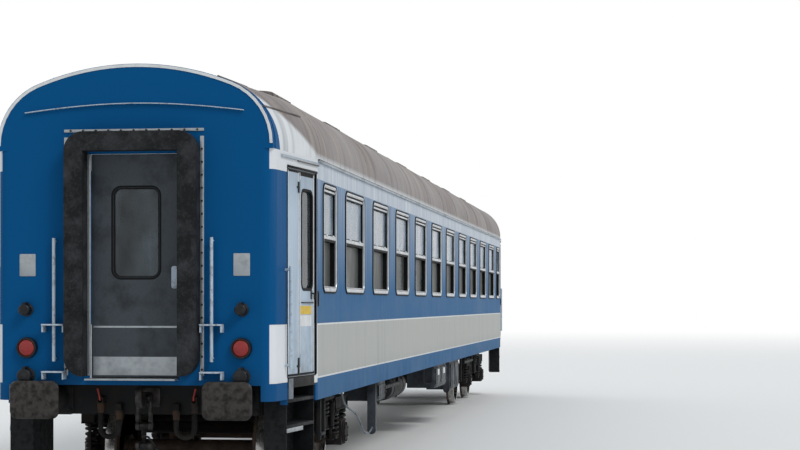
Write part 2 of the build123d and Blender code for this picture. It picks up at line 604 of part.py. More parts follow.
# Handrails beside the doors and on the end walls
RAIL_RADIUS = 15.0
RAIL_PROUD = 55.0
STUB_RADIUS = 11.0
DOOR_RAIL_AT = -75.0
DOOR_RAIL = (1330.0, 2250.0)
END_RAIL_Y = 720.0
END_RAIL = (1400.0, 2500.0)
STUB_IN = 30.0
with BuildPart() as handrails:
    for _, _, ex, sy in CORNERS:
        rail_plane = door_plane(ex, sy, -RAIL_PROUD)
        spot = rail_plane.from_local_coords(Vector(DOOR_RAIL_AT, 0, 0))
        rod((spot.X, spot.Y, sum(DOOR_RAIL) / 2), RAIL_RADIUS, DOOR_RAIL[1] - DOOR_RAIL[0], "Z")
        with BuildSketch(rail_plane):
            for height in (DOOR_RAIL[0] + STUB_IN, DOOR_RAIL[1] - STUB_IN):
                with Locations((DOOR_RAIL_AT, up(height))):
                    Circle(STUB_RADIUS)
        extrude(amount=inward(ex, sy, RAIL_PROUD))
        rod((ex * (BODY_HALF + RAIL_PROUD), sy * END_RAIL_Y, sum(END_RAIL) / 2), RAIL_RADIUS,
            END_RAIL[1] - END_RAIL[0], "Z")
        for height in (END_RAIL[0] + STUB_IN, END_RAIL[1] - STUB_IN):
            rod((ex * (BODY_HALF + RAIL_PROUD / 2), sy * END_RAIL_Y, height), STUB_RADIUS,
                RAIL_PROUD, "X")
finish(handrails, "handrails")

# Tail lamps low on the end walls
LAMP_Y = 980.0
LAMP_Z = 1520.0
LAMP_RADIUS = 95.0
LAMP_DEPTH = 55.0
with BuildPart() as tail_lamps:
    for _, ex in ENDS:
        for sy in (-1, 1):
            rod((ex * (BODY_HALF + LAMP_DEPTH / 2), sy * LAMP_Y, LAMP_Z), LAMP_RADIUS, LAMP_DEPTH, "X")
finish(tail_lamps, "tail_lamps")

# Rain gutters along the eaves and over the doors
GUTTER_BOTTOM = 3230.0
GUTTER_HEIGHT = 22.0
GUTTER_PROUD = 18.0
GUTTER_OVERHANG = 200.0
GUTTER_PAST = 60.0
with BuildPart() as rain_gutters:
    for sy in (-1, 1):
        block(-STRAIGHT_HALF, STRAIGHT_HALF, sy * HALF_WIDTH, sy * (HALF_WIDTH + GUTTER_PROUD),
              EAVE - GUTTER_HEIGHT, EAVE)
    for _, _, ex, sy in CORNERS:
        with BuildSketch(door_plane(ex, sy, -GUTTER_PROUD)):
            with Locations(((DOOR_OPENING + GUTTER_PAST - GUTTER_OVERHANG) / 2,
                            up(GUTTER_BOTTOM + GUTTER_HEIGHT / 2))):
                Rectangle(DOOR_OPENING + GUTTER_PAST + GUTTER_OVERHANG, GUTTER_HEIGHT)
        extrude(amount=inward(ex, sy, GUTTER_PROUD))
finish(rain_gutters, "rain_gutters")

# Roof ventilators in two rows, their feet following the arch
VENT_PITCH = 3100.0
VENT_Y = 600.0
VENT_LENGTH = 1150.0
VENT_COUNT = int((STRAIGHT_LENGTH - VENT_LENGTH) / VENT_PITCH) + 1
VENT_WIDTH = 340.0
VENT_FOOT = 3800.0
VENT_TOP = 4060.0
VENT_ROUND = 20.0
with BuildPart() as roof_ventilators:
    with BuildSketch(Plane.XY.offset(up(VENT_FOOT))):
        with GridLocations(VENT_PITCH, 2 * VENT_Y, VENT_COUNT, 2):
            RectangleRounded(VENT_LENGTH, VENT_WIDTH, VENT_WIDTH / 2 - 1)
    extrude(amount=VENT_TOP - VENT_FOOT)
    fillet(roof_ventilators.faces().group_by(Axis.Z)[-1].edges(), VENT_ROUND)
    with BuildSketch(Plane.YZ.offset(-STRAIGHT_HALF)):
        arch_face(HALF_WIDTH, -SEAT_GAP, EAVE)
    extrude(amount=STRAIGHT_LENGTH, mode=Mode.SUBTRACT)
finish(roof_ventilators, "roof_ventilators")

# Equipment under the floor, hung from the solebars: start, end, side, depth and bottom
BOX_FROM_BOGIE = 2170.0
FIRST_BOX_LENGTH = 610.0
FIRST_BOX_START = BOX_FROM_BOGIE - BOGIE_X
BOX_TABLE = (
    (FIRST_BOX_START, FIRST_BOX_START + FIRST_BOX_LENGTH, -1, 400.0, 760.0),
    (-600.0, 900.0, -1, 420.0, 650.0),
    (1500.0, 2800.0, -1, 380.0, 530.0),
    (-5200.0, -3300.0, 1, 420.0, 560.0),
    (-1400.0, 700.0, 1, 420.0, 620.0),
)
with BuildPart() as equipment_boxes:
    for start, stop, sy, depth, bottom in BOX_TABLE:
        block(start, stop, sy * (INNER_HALF - depth), sy * (INNER_HALF - SEAT_GAP), bottom,
              SKIRT_BOTTOM)
finish(equipment_boxes, "equipment_boxes")

# Plates with round ends hung from the solebars: start, side, thickness, width and bottom
PLATE_FROM_BOGIE = 2040.0
PLATE_THICK = 70.0
PLATE_TABLE = (
    (PLATE_FROM_BOGIE - BOGIE_X, -1, PLATE_THICK, 100.0, 376.0),
    (BOGIE_X - PLATE_FROM_BOGIE - PLATE_THICK, 1, PLATE_THICK, 100.0, 376.0),
    (1440.0, -1, 40.0, 100.0, 482.0),
)
# One open bracket ahead of the second box
BRACKET_START = -660.0
BRACKET_THICK = 25.0
BRACKET_WIDTH = 172.0
BRACKET_BOTTOM = 700.0
BRACKET_BAR = 30.0
with BuildPart() as underfloor_brackets:
    for start, sy, thick, width, bottom in PLATE_TABLE:
        middle_y = sy * (INNER_HALF - SEAT_GAP - width / 2)
        block(start, start + thick, middle_y - width / 2, middle_y + width / 2, bottom + width / 2,
              SKIRT_BOTTOM)
        rod((start + thick / 2, middle_y, bottom + width / 2), width / 2, thick, "X")
    outer_y = SEAT_GAP - INNER_HALF
    block(BRACKET_START, BRACKET_START + BRACKET_THICK, outer_y, outer_y + BRACKET_WIDTH,
          BRACKET_BOTTOM, SKIRT_BOTTOM)
    block(BRACKET_START, BRACKET_START + BRACKET_THICK, outer_y + BRACKET_BAR,
          outer_y + BRACKET_WIDTH - BRACKET_BAR, BRACKET_BOTTOM + BRACKET_BAR,
          SKIRT_BOTTOM - BRACKET_BAR, Mode.SUBTRACT)
finish(underfloor_brackets, "underfloor_brackets")

# Level pipes behind the skirt, each on two hangers: end and side of each
LEVEL_PLACES = ((-1, -1), (1, -1), (1, 1))
LEVEL_LENGTH = 1500.0
LEVEL_Z = 885.0
LEVEL_RADIUS = 28.0
LEVEL_Y = 1290.0
LEVEL_FROM_BOGIE = 2900.0
LEVEL_HANGER = 40.0
LEVEL_ENDS = 120.0
with BuildPart() as underfloor_pipes:
    for ex, sy in LEVEL_PLACES:
        middle = ex * (BOGIE_X - LEVEL_FROM_BOGIE - LEVEL_LENGTH / 2)
        rod((middle, sy * LEVEL_Y, LEVEL_Z), LEVEL_RADIUS, LEVEL_LENGTH, "X")
        for way in (-1, 1):
            x = middle + way * (LEVEL_LENGTH / 2 - LEVEL_ENDS)
            block(x - LEVEL_HANGER / 2, x + LEVEL_HANGER / 2, sy * LEVEL_Y - LEVEL_HANGER / 2,
                  sy * LEVEL_Y + LEVEL_HANGER / 2, LEVEL_Z, SKIRT_BOTTOM)
finish(underfloor_pipes, "underfloor_pipes")

# Air reservoirs on straps below the floor: middle, side offset, length, radius and height
RESERVOIR_TABLE = (
    (-3250.0, -1000.0, 1400.0, 170.0, 800.0),
    (3400.0, -1000.0, 900.0, 150.0, 830.0),
    (2900.0, 950.0, 1800.0, 200.0, 780.0),
)
STRAP_WIDTH = 60.0
STRAP_SHARE = 0.3
with BuildPart() as air_reservoirs:
    for middle, y, length, radius, height in RESERVOIR_TABLE:
        rod((middle, y, height), radius, length, "X")
        for way in (-1, 1):
            x = middle + way * length * STRAP_SHARE
            block(x - STRAP_WIDTH / 2, x + STRAP_WIDTH / 2, y - radius / 2, y + radius / 2, height,
                  FLOOR_UNDER)
finish(air_reservoirs, "air_reservoirs")

# Inside: partitions with their passages, toilet walls, seats and luggage racks
PASSAGE_WIDTH = 700.0
PASSAGE_TOP = 3250.0
LOBBY_DEPTH = 135.0
LOBBY_X = STRAIGHT_HALF - LOBBY_DEPTH
CABIN_Y = 450.0
with BuildPart() as partitions:
    for _, ex in ENDS:
        for x in (SALOON_HALF, LOBBY_X):
            with BuildSketch(Plane.YZ.offset(ex * x)):
                arch_face(HALF_WIDTH, ROOF_WALL + SEAT_GAP, FLOOR_TOP)
                with Locations((0, up((FLOOR_TOP + PASSAGE_TOP) / 2))):
                    Rectangle(PASSAGE_WIDTH, PASSAGE_TOP - FLOOR_TOP, mode=Mode.SUBTRACT)
            extrude(amount=ex * PARTITION_THICK)
        for sy in (-1, 1):
            block(ex * SALOON_HALF, ex * LOBBY_X, sy * CABIN_Y, sy * (CABIN_Y + PARTITION_THICK),
                  FLOOR_TOP, PASSAGE_TOP)
finish(partitions, "partitions")

SEAT_TOP = 450.0
SEAT_UNDER = 330.0
SEAT_REACH = 580.0
BACK_TOP = 1180.0
BACK_HALF = 60.0
BACK_FOOT = 120.0
FOOT_HALF = 100.0
SEAT_WIDTH = 1000.0
SEAT_PROFILE = (
    (FOOT_HALF, 0.0),
    (FOOT_HALF, SEAT_UNDER),
    (SEAT_REACH, SEAT_UNDER),
    (SEAT_REACH, SEAT_TOP),
    (BACK_FOOT, SEAT_TOP),
    (BACK_HALF, BACK_TOP),
)
with BuildPart() as seats:
    for sy in (-1, 1):
        plane = Plane.XZ.offset(-sy * (INNER_HALF - SEAT_GAP))
        with BuildSketch(plane):
            for i in range(WINDOW_COUNT + 1):
                row = (i - WINDOW_COUNT / 2) * WINDOW_PITCH
                first = i == 0
                last = i == WINDOW_COUNT
                right = [(row + x, up(FLOOR_TOP + z)) for x, z in SEAT_PROFILE]
                left = [(row - x, up(FLOOR_TOP + z)) for x, z in SEAT_PROFILE]
                if first:
                    left = [(row + SEAT_GAP, up(FLOOR_TOP + z)) for z in (0.0, BACK_TOP)]
                if last:
                    right = [(row - SEAT_GAP, up(FLOOR_TOP + z)) for z in (0.0, BACK_TOP)]
                with BuildLine():
                    Polyline(*right, *reversed(left), close=True)
                make_face()
        extrude(amount=sy * SEAT_WIDTH)
finish(seats, "seats")

RACK_BOTTOM = 3115.0
RACK_THICK = 25.0
RACK_DEPTH = 380.0
with BuildPart() as luggage_racks:
    for sy in (-1, 1):
        block(-SALOON_HALF + SEAT_GAP, SALOON_HALF - SEAT_GAP, sy * (INNER_HALF - RACK_DEPTH),
              sy * (INNER_HALF - SEAT_GAP), RACK_BOTTOM, RACK_BOTTOM + RACK_THICK)
finish(luggage_racks, "luggage_racks")

# Bogies: a frame with dropped sides, axle boxes, springs, a bolster, brake gear and wheelsets
BEAM_WIDTH = 120.0
BEAM_PROFILE = (
    (1650.0, 720.0), (1650.0, 870.0), (820.0, 870.0), (480.0, 700.0),
    (-480.0, 700.0), (-820.0, 870.0), (-1650.0, 870.0), (-1650.0, 720.0),
    (-900.0, 720.0), (-560.0, 545.0), (560.0, 545.0), (900.0, 720.0),
)
BEAM_UNDER = 720.0
DROP_TOP = 700.0
TRANSOM_X = 600.0
TRANSOM_Z = 625.0
TRANSOM_RADIUS = 65.0
AXLE_BOX_LENGTH = 300.0
AXLE_BOX_WIDTH = 180.0
AXLE_BOX_HEIGHT = 280.0
COVER_RADIUS = 110.0
COVER_DEPTH = 35.0
WING_REACH = 340.0
WING_LOW = 400.0
WING_TOP = 440.0
SPRING_OFFSET = 245.0
SPRING_RADIUS = 80.0
BOLSTER_SPRING_X = 230.0
BOLSTER_SPRING_RADIUS = 105.0
BOLSTER_UNDER = 880.0
BOLSTER_TOP = 980.0
BOLSTER_HALF = 340.0
BOLSTER_REACH = 1130.0
BEARER_Y = 780.0
BEARER_SIZE = 240.0
PIVOT_GAP = 0.5
BLOCK_GAP = 6.0
BLOCK_THICK = 60.0
BLOCK_WIDTH = 84.0
BLOCK_Z = 450.0
BLOCK_HEIGHT = 220.0
ARM_WIDTH = 36.0
BRAKE_ROD_RADIUS = 14.0
HANGER_INNER = TRANSOM_X + TRANSOM_RADIUS + SEAT_GAP
SPRING_CORE = 0.7
COIL_SHARE = 0.6
FLANGE_POINTS = ((0.0, 0.7), (0.3, 1.0), (0.6, 0.8))
HUB_PROUD = 10.0
TREAD_FALL = 5.0


def spring(x, y, low, top, radius, turns):
    """A plain coil spring's envelope: a core with one ring for each turn."""
    rod((x, y, (low + top) / 2), radius * SPRING_CORE, top - low, "Z")
    step = (top - low) / turns
    for i in range(turns):
        rod((x, y, low + step * (i + 0.5)), radius, step * COIL_SHARE, "Z")


for end, ex in ENDS:
    bogie_x = ex * BOGIE_X
    axles = [bogie_x + way * AXLE_OFFSET for way in (-1, 1)]
    with BuildPart() as bogie_frame:
        for sy in (-1, 1):
            with BuildSketch(Plane.XZ.offset(-sy * BOX_Y - BEAM_WIDTH / 2)):
                with BuildLine():
                    Polyline(*[(bogie_x + x, up(z)) for x, z in BEAM_PROFILE], close=True)
                make_face()
            extrude(amount=BEAM_WIDTH)
        for way in (-1, 1):
            rod((bogie_x + way * TRANSOM_X, 0, TRANSOM_Z), TRANSOM_RADIUS, 2 * BOX_Y, "Y")
    finish(bogie_frame, f"bogie_frame_{end}")

    with BuildPart() as bolster:
        block(bogie_x - BOLSTER_HALF, bogie_x + BOLSTER_HALF, -BOLSTER_REACH, BOLSTER_REACH,
              BOLSTER_UNDER, BOLSTER_TOP)
        for sy in (-1, 1):
            block(bogie_x - BEARER_SIZE / 2, bogie_x + BEARER_SIZE / 2,
                  sy * BEARER_Y - BEARER_SIZE / 2, sy * BEARER_Y + BEARER_SIZE / 2, BOLSTER_TOP,
                  BODY_BOLSTER_BOTTOM - SEAT_GAP)
        rod((bogie_x, 0, BOLSTER_TOP), PIVOT_RADIUS + PIVOT_GAP, 2 * (BOLSTER_TOP - BOLSTER_UNDER) + 1,
            "Z", Mode.SUBTRACT)
    finish(bolster, f"bogie_bolster_{end}")

    with BuildPart() as axle_boxes:
        for axle_x in axles:
            for sy in (-1, 1):
                block(axle_x - AXLE_BOX_LENGTH / 2, axle_x + AXLE_BOX_LENGTH / 2,
                      sy * BOX_Y - AXLE_BOX_WIDTH / 2, sy * BOX_Y + AXLE_BOX_WIDTH / 2,
                      WHEEL_RADIUS - AXLE_BOX_HEIGHT / 2, WHEEL_RADIUS + AXLE_BOX_HEIGHT / 2)
                block(axle_x - WING_REACH, axle_x + WING_REACH, sy * BOX_Y - BEAM_WIDTH / 2,
                      sy * BOX_Y + BEAM_WIDTH / 2, WING_LOW, WING_TOP)
                face_y = BOX_Y + (AXLE_BOX_WIDTH + COVER_DEPTH) / 2
                rod((axle_x, sy * face_y, WHEEL_RADIUS), COVER_RADIUS, COVER_DEPTH, "Y")
                rod((axle_x, sy * (JOURNAL_END - AXLE_BOX_WIDTH / 2), WHEEL_RADIUS),
                    JOURNAL_RADIUS + BEARING_GAP, AXLE_BOX_WIDTH + 2 * BLOCK_GAP, "Y", Mode.SUBTRACT)
    finish(axle_boxes, f"axle_boxes_{end}")

    with BuildPart() as springs:
        for sy in (-1, 1):
            for axle_x in axles:
                for way in (-1, 1):
                    spring(axle_x + way * SPRING_OFFSET, sy * BOX_Y, WING_TOP, BEAM_UNDER,
                           SPRING_RADIUS, 6)
            for way in (-1, 1):
                spring(bogie_x + way * BOLSTER_SPRING_X, sy * BOX_Y, DROP_TOP, BOLSTER_UNDER,
                       BOLSTER_SPRING_RADIUS, 4)
    finish(springs, f"springs_{end}")

    with BuildPart() as brake_gear:
        for axle_x, way in zip(axles, (-1, 1)):
            back = WHEEL_RADIUS + BLOCK_GAP + BLOCK_THICK
            arm_x = axle_x - way * back
            for sy in (-1, 1):
                wheel_y = sy * (WHEEL_BACK + (FLANGE_WIDTH + WHEEL_WIDTH) / 2)
                with BuildSketch(Plane.XZ.offset(-wheel_y - BLOCK_WIDTH / 2)):
                    with Locations((axle_x, up(WHEEL_RADIUS))):
                        Circle(back)
                        Circle(WHEEL_RADIUS + BLOCK_GAP, mode=Mode.SUBTRACT)
                    with Locations((axle_x - way * back, up(BLOCK_Z))):
                        Rectangle(back, BLOCK_HEIGHT, mode=Mode.INTERSECT)
                extrude(amount=BLOCK_WIDTH)
                block(arm_x, bogie_x + way * HANGER_INNER, wheel_y - ARM_WIDTH / 2,
                      wheel_y + ARM_WIDTH / 2, TRANSOM_Z - ARM_WIDTH, TRANSOM_Z)
                block(arm_x - way * ARM_WIDTH, arm_x + way * ARM_WIDTH / 2, wheel_y - ARM_WIDTH / 2,
                      wheel_y + ARM_WIDTH / 2, BLOCK_Z - BLOCK_HEIGHT / 2, TRANSOM_Z)
            rod((arm_x - way * ARM_WIDTH / 2, 0, BLOCK_Z), BRAKE_ROD_RADIUS, 2 * WHEEL_BACK + FLANGE_WIDTH
                + WHEEL_WIDTH, "Y")
    finish(brake_gear, f"brake_gear_{end}")

    for axle_x, number in zip(axles, (1, 2)):
        tread = WHEEL_BACK + FLANGE_WIDTH
        web_y = WHEEL_BACK + WHEEL_WIDTH / 2
        profile = (
            (0.0, 0.0),
            (0.0, AXLE_RADIUS),
            (WHEEL_BACK - HUB_PROUD, AXLE_RADIUS),
            (WHEEL_BACK - HUB_PROUD, HUB_RADIUS),
            (web_y - WEB_THICK / 2, HUB_RADIUS),
            (web_y - WEB_THICK / 2, WHEEL_RADIUS - RIM_THICK),
            (WHEEL_BACK, WHEEL_RADIUS - RIM_THICK),
            *[(WHEEL_BACK + FLANGE_WIDTH * across, WHEEL_RADIUS + FLANGE * rise)
              for across, rise in FLANGE_POINTS],
            (tread, WHEEL_RADIUS),
            (WHEEL_BACK + WHEEL_WIDTH, WHEEL_RADIUS - TREAD_FALL),
            (WHEEL_BACK + WHEEL_WIDTH, WHEEL_RADIUS - RIM_THICK),
            (web_y + WEB_THICK / 2, WHEEL_RADIUS - RIM_THICK),
            (web_y + WEB_THICK / 2, HUB_RADIUS),
            (HUB_END, HUB_RADIUS),
            (HUB_END, AXLE_RADIUS),
            (COLLAR_END, AXLE_RADIUS),
            (COLLAR_END, JOURNAL_RADIUS),
            (JOURNAL_END, JOURNAL_RADIUS),
            (JOURNAL_END, 0.0),
        )
        centre = Vector(axle_x, 0, up(WHEEL_RADIUS))
        with BuildPart() as wheelset:
            with BuildSketch(Plane(origin=centre, x_dir=(0, 1, 0), z_dir=(1, 0, 0))):
                with BuildLine():
                    Polyline(*profile, close=True)
                make_face()
            revolve(axis=Axis(centre, (0, 1, 0)))
            mirror(about=Plane.XZ)
        finish(wheelset, f"wheelset_{end}_{number}")
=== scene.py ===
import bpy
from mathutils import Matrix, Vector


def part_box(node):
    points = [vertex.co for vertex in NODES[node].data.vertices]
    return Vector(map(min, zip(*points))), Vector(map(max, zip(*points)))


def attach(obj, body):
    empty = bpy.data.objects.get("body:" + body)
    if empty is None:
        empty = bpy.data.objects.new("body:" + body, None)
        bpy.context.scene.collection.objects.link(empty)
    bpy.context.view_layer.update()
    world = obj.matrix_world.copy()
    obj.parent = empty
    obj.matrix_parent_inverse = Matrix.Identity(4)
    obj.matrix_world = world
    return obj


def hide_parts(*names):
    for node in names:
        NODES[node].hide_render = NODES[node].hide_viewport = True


bl_info = {
    "name": "Passenger Coach",
    "version": (1, 0, 0),
    "blender": (4, 5, 0),
    "location": "View3D > Sidebar > Coach",
    "description": "Dresses the coach's frame with paint, windows, doors, running gear and fittings",
    "category": "Object",
}

from math import atan, atan2, cos, exp, pi, radians, sin

import bmesh
import bpy
from mathutils import Vector

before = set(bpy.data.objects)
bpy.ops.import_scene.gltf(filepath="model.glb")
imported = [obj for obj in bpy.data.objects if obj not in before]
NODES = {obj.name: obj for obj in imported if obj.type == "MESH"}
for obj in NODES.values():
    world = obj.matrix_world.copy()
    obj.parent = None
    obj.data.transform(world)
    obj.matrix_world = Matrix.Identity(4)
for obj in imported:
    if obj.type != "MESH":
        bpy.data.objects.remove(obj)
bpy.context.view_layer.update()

# Places read from the frame, in metres. RAIL is the top of the rail over the flange tips.
RAIL = 0.028
SIDES = (("right", -1), ("left", 1))
ENDS = (("near", -1), ("far", 1))
CORNERS = [(end, side, ex, sy) for end, ex in ENDS for side, sy in SIDES]
WALL_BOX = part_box("side_wall_right")
HALF_WIDTH = -WALL_BOX[0][1]
STRAIGHT_HALF = WALL_BOX[1][0]
EAVE = WALL_BOX[1][2] - RAIL
BODY_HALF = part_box("vestibule_far")[1][0]
FACE_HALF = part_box("buffer_heads")[1][0]
FLOOR_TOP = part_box("floor")[1][2] - RAIL
ROOF_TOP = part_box("roof")[1][2] - RAIL
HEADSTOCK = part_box("underframe")[1][0]
WALL = 0.070
SHOULDER_RADIUS = 0.590
SHOULDER_Z = EAVE + 0.045
TAPER = 0.150 / (BODY_HALF - STRAIGHT_HALF)
TAPER_ANGLE = atan(TAPER)
WINDOW_PITCH = 1.895
WINDOW_COUNT = 10
WINDOW_MIDDLES = [(i - (WINDOW_COUNT - 1) / 2) * WINDOW_PITCH for i in range(WINDOW_COUNT)]
END_WINDOW_X = 10.085
DOOR_JAMB_X = 11.685
DOOR_OPENING = 0.880
DOOR_RECESS = 0.012
DOOR_THICK = 0.040
DOOR_LOW = 1.257
DOOR_HIGH = 3.138
FOLD_AT = 0.400
FREE_EDGE = 0.866
DOOR_GLASS = (0.6345, 2.510, 0.340, 0.920)
BOGIE_X = 8.600
AXLE_OFFSET = 1.250
AXLE_Z = 0.460
BOX_Y = 1.000
BUFFER_Y = 0.875
BUFFER_Z = 1.060
BOX_TOP = 0.975
GANGWAY_DOOR_FACE = 12.024


def up(height):
    """Height over the flange tips of a height over the rail."""
    return RAIL + height


def half_at(x):
    """Half width of the tapered body at a distance x from its middle."""
    return HALF_WIDTH - max(0.0, abs(x) - STRAIGHT_HALF) * TAPER


def linear(code):
    """An sRGB hex colour as linear red, green and blue."""
    parts = [int(code[i:i + 2], 16) / 255 for i in (1, 3, 5)]
    return [c / 12.92 if c <= 0.04045 else ((c + 0.055) / 1.055) ** 2.4 for c in parts]


# Sizes and colours that a user may change


def length(name, words, default):
    return bpy.props.FloatProperty(name=name, description=words, default=default, unit="LENGTH",
                                   precision=3)


def colour(name, words, code):
    return bpy.props.FloatVectorProperty(name=name, description=words, default=linear(code),
                                         size=3, min=0.0, max=1.0, subtype="COLOR")


class CoachSizes(bpy.types.PropertyGroup):
    """Sizes of the livery and fittings, in metres; heights are over the rail."""

    cream_bottom: length("Cream bottom", "Lower edge of the cream band over the rail", 1.208)
    cream_top: length("Cream top", "Upper edge of the cream band over the rail", 1.716)
    blue_top: length("Blue top", "Upper edge of the window band over the rail", 3.100)
    line_width: length("Line width", "Width of the white lines beside the cream band", 0.010)
    window_width: length("Window width", "Outer width of a wide window frame", 1.250)
    end_window_width: length("End window width", "Outer width of a narrow window frame", 0.770)
    window_bottom: length("Window bottom", "Lower edge of the window frames over the rail", 2.030)
    window_top: length("Window top", "Upper edge of the window frames over the rail", 3.080)
    window_radius: length("Window radius", "Corner radius of the window frames", 0.100)
    frame_width: length("Frame width", "Visible width of the aluminium frame", 0.040)
    seal_width: length("Seal width", "Width of the rubber seal round a window", 0.013)
    bar_centre: length("Bar centre", "Height of the window's middle bar over the rail", 2.560)
    bar_height: length("Bar height", "Height of the middle bar's face", 0.046)
    rail_bottom: length("Rail bottom", "Lower edge of the upper sash rail over the rail", 2.998)
    upper_depth: length("Upper pane depth", "Upper pane behind the side's outer face", 0.0265)
    lower_depth: length("Lower pane depth", "Lower pane behind the side's outer face", 0.0565)
    axle_spring: length("Axle spring wire", "Wire diameter of an axle spring", 0.034)
    bolster_spring: length("Bolster spring wire", "Wire diameter of a bolster spring", 0.040)


class CoachColours(bpy.types.PropertyGroup):
    """Base colours of the finishes."""

    side_blue: colour("Side blue", "Blue of the side walls", "#225E8C")
    # The end blue and the post cream are the side paint as the corner posts look in their own light: painted
    # shade in the deeper blue, painted light in the whiter cream
    end_blue: colour("End blue", "Deeper blue of the ends and corner posts", "#0A5083")
    cream: colour("Cream", "Greyed cream band", "#B3B4AF")
    post_cream: colour("Post cream", "Whiter cream of the corner posts", "#DEE1E4")
    frieze: colour("Frieze", "Pale band over the windows", "#DADDDF")
    roof: colour("Roof", "Weathered roof coat", "#928C8B")
    door: colour("Door", "Light door paint", "#AEBFCF")
    grime: colour("Grime", "Dirt that gathers low on the body", "#4A453F")
    seats: colour("Seats", "Seat cloth", "#3B4C66")


# Finishes


def feed(tree, node, inputs):
    """Gives each named input of a node a value, or links it to a socket."""
    for key, value in dict(inputs).items():
        if isinstance(value, bpy.types.NodeSocket):
            tree.links.new(value, node.inputs[key])
        else:
            node.inputs[key].default_value = value


def add_node(tree, kind, inputs=(), **settings):
    """Adds a node. Settings come by name, and each input gets a value or a socket to link."""
    node = tree.nodes.new(kind)
    for key, value in settings.items():
        setattr(node, key, value)
    feed(tree, node, inputs)
    return node


def maths(tree, operation, *terms):
    """The result of an operation on up to three values or sockets."""
    return add_node(tree, "ShaderNodeMath", enumerate(terms), operation=operation).outputs[0]


def remap(tree, value, low=0.0, high=1.0, start=0.0, stop=1.0):
    """A value taken from the span low to high to the span start to stop, and held in it."""
    return add_node(tree, "ShaderNodeMapRange", {"Value": value, "From Min": low, "From Max": high,
                                                 "To Min": start, "To Max": stop}).outputs[0]


def blank(name):
    """A new material with its tree, its Principled shader and its object coordinates."""
    material = bpy.data.materials.new(name)
    material.use_nodes = True
    tree = material.node_tree
    return material, tree, tree.nodes["Principled BSDF"], add_node(tree, "ShaderNodeTexCoord")


def patches(tree, place, size, low, high, most=1.0, stretch=(1, 1, 1), detail=5.0):
    """A mask of soft patches about a size in metres wide, from nought below low to most over high."""
    spread = add_node(tree, "ShaderNodeMapping", {"Vector": place.outputs["Object"], "Scale": stretch})
    cloud = add_node(tree, "ShaderNodeTexNoise", {"Vector": spread.outputs[0], "Scale": 1 / size,
                                                  "Detail": detail, "Roughness": 0.58})
    return remap(tree, cloud.outputs["Fac"], low, high, 0.0, most)


def coats(tree, base, *layers):
    """Lays coats over a base; each is a mask and a colour. A colour is linear or a socket."""
    for mask, over in layers:
        terms = [term if isinstance(term, bpy.types.NodeSocket) else (*tuple(term)[:3], 1.0)
                 for term in (base, over)]
        base = add_node(tree, "ShaderNodeMix", {0: mask, 6: terms[0], 7: terms[1]},
                        data_type="RGBA").outputs[2]
    return base


def relief(tree, shader, *layers):
    """Raises the surface in layers; each is a height socket, its rise in metres and strength."""
    under = None
    for height, rise, strength in layers:
        inputs = {"Height": height, "Distance": rise, "Strength": strength}
        if under:
            inputs["Normal"] = under
        under = add_node(tree, "ShaderNodeBump", inputs).outputs[0]
    tree.links.new(under, shader.inputs["Normal"])


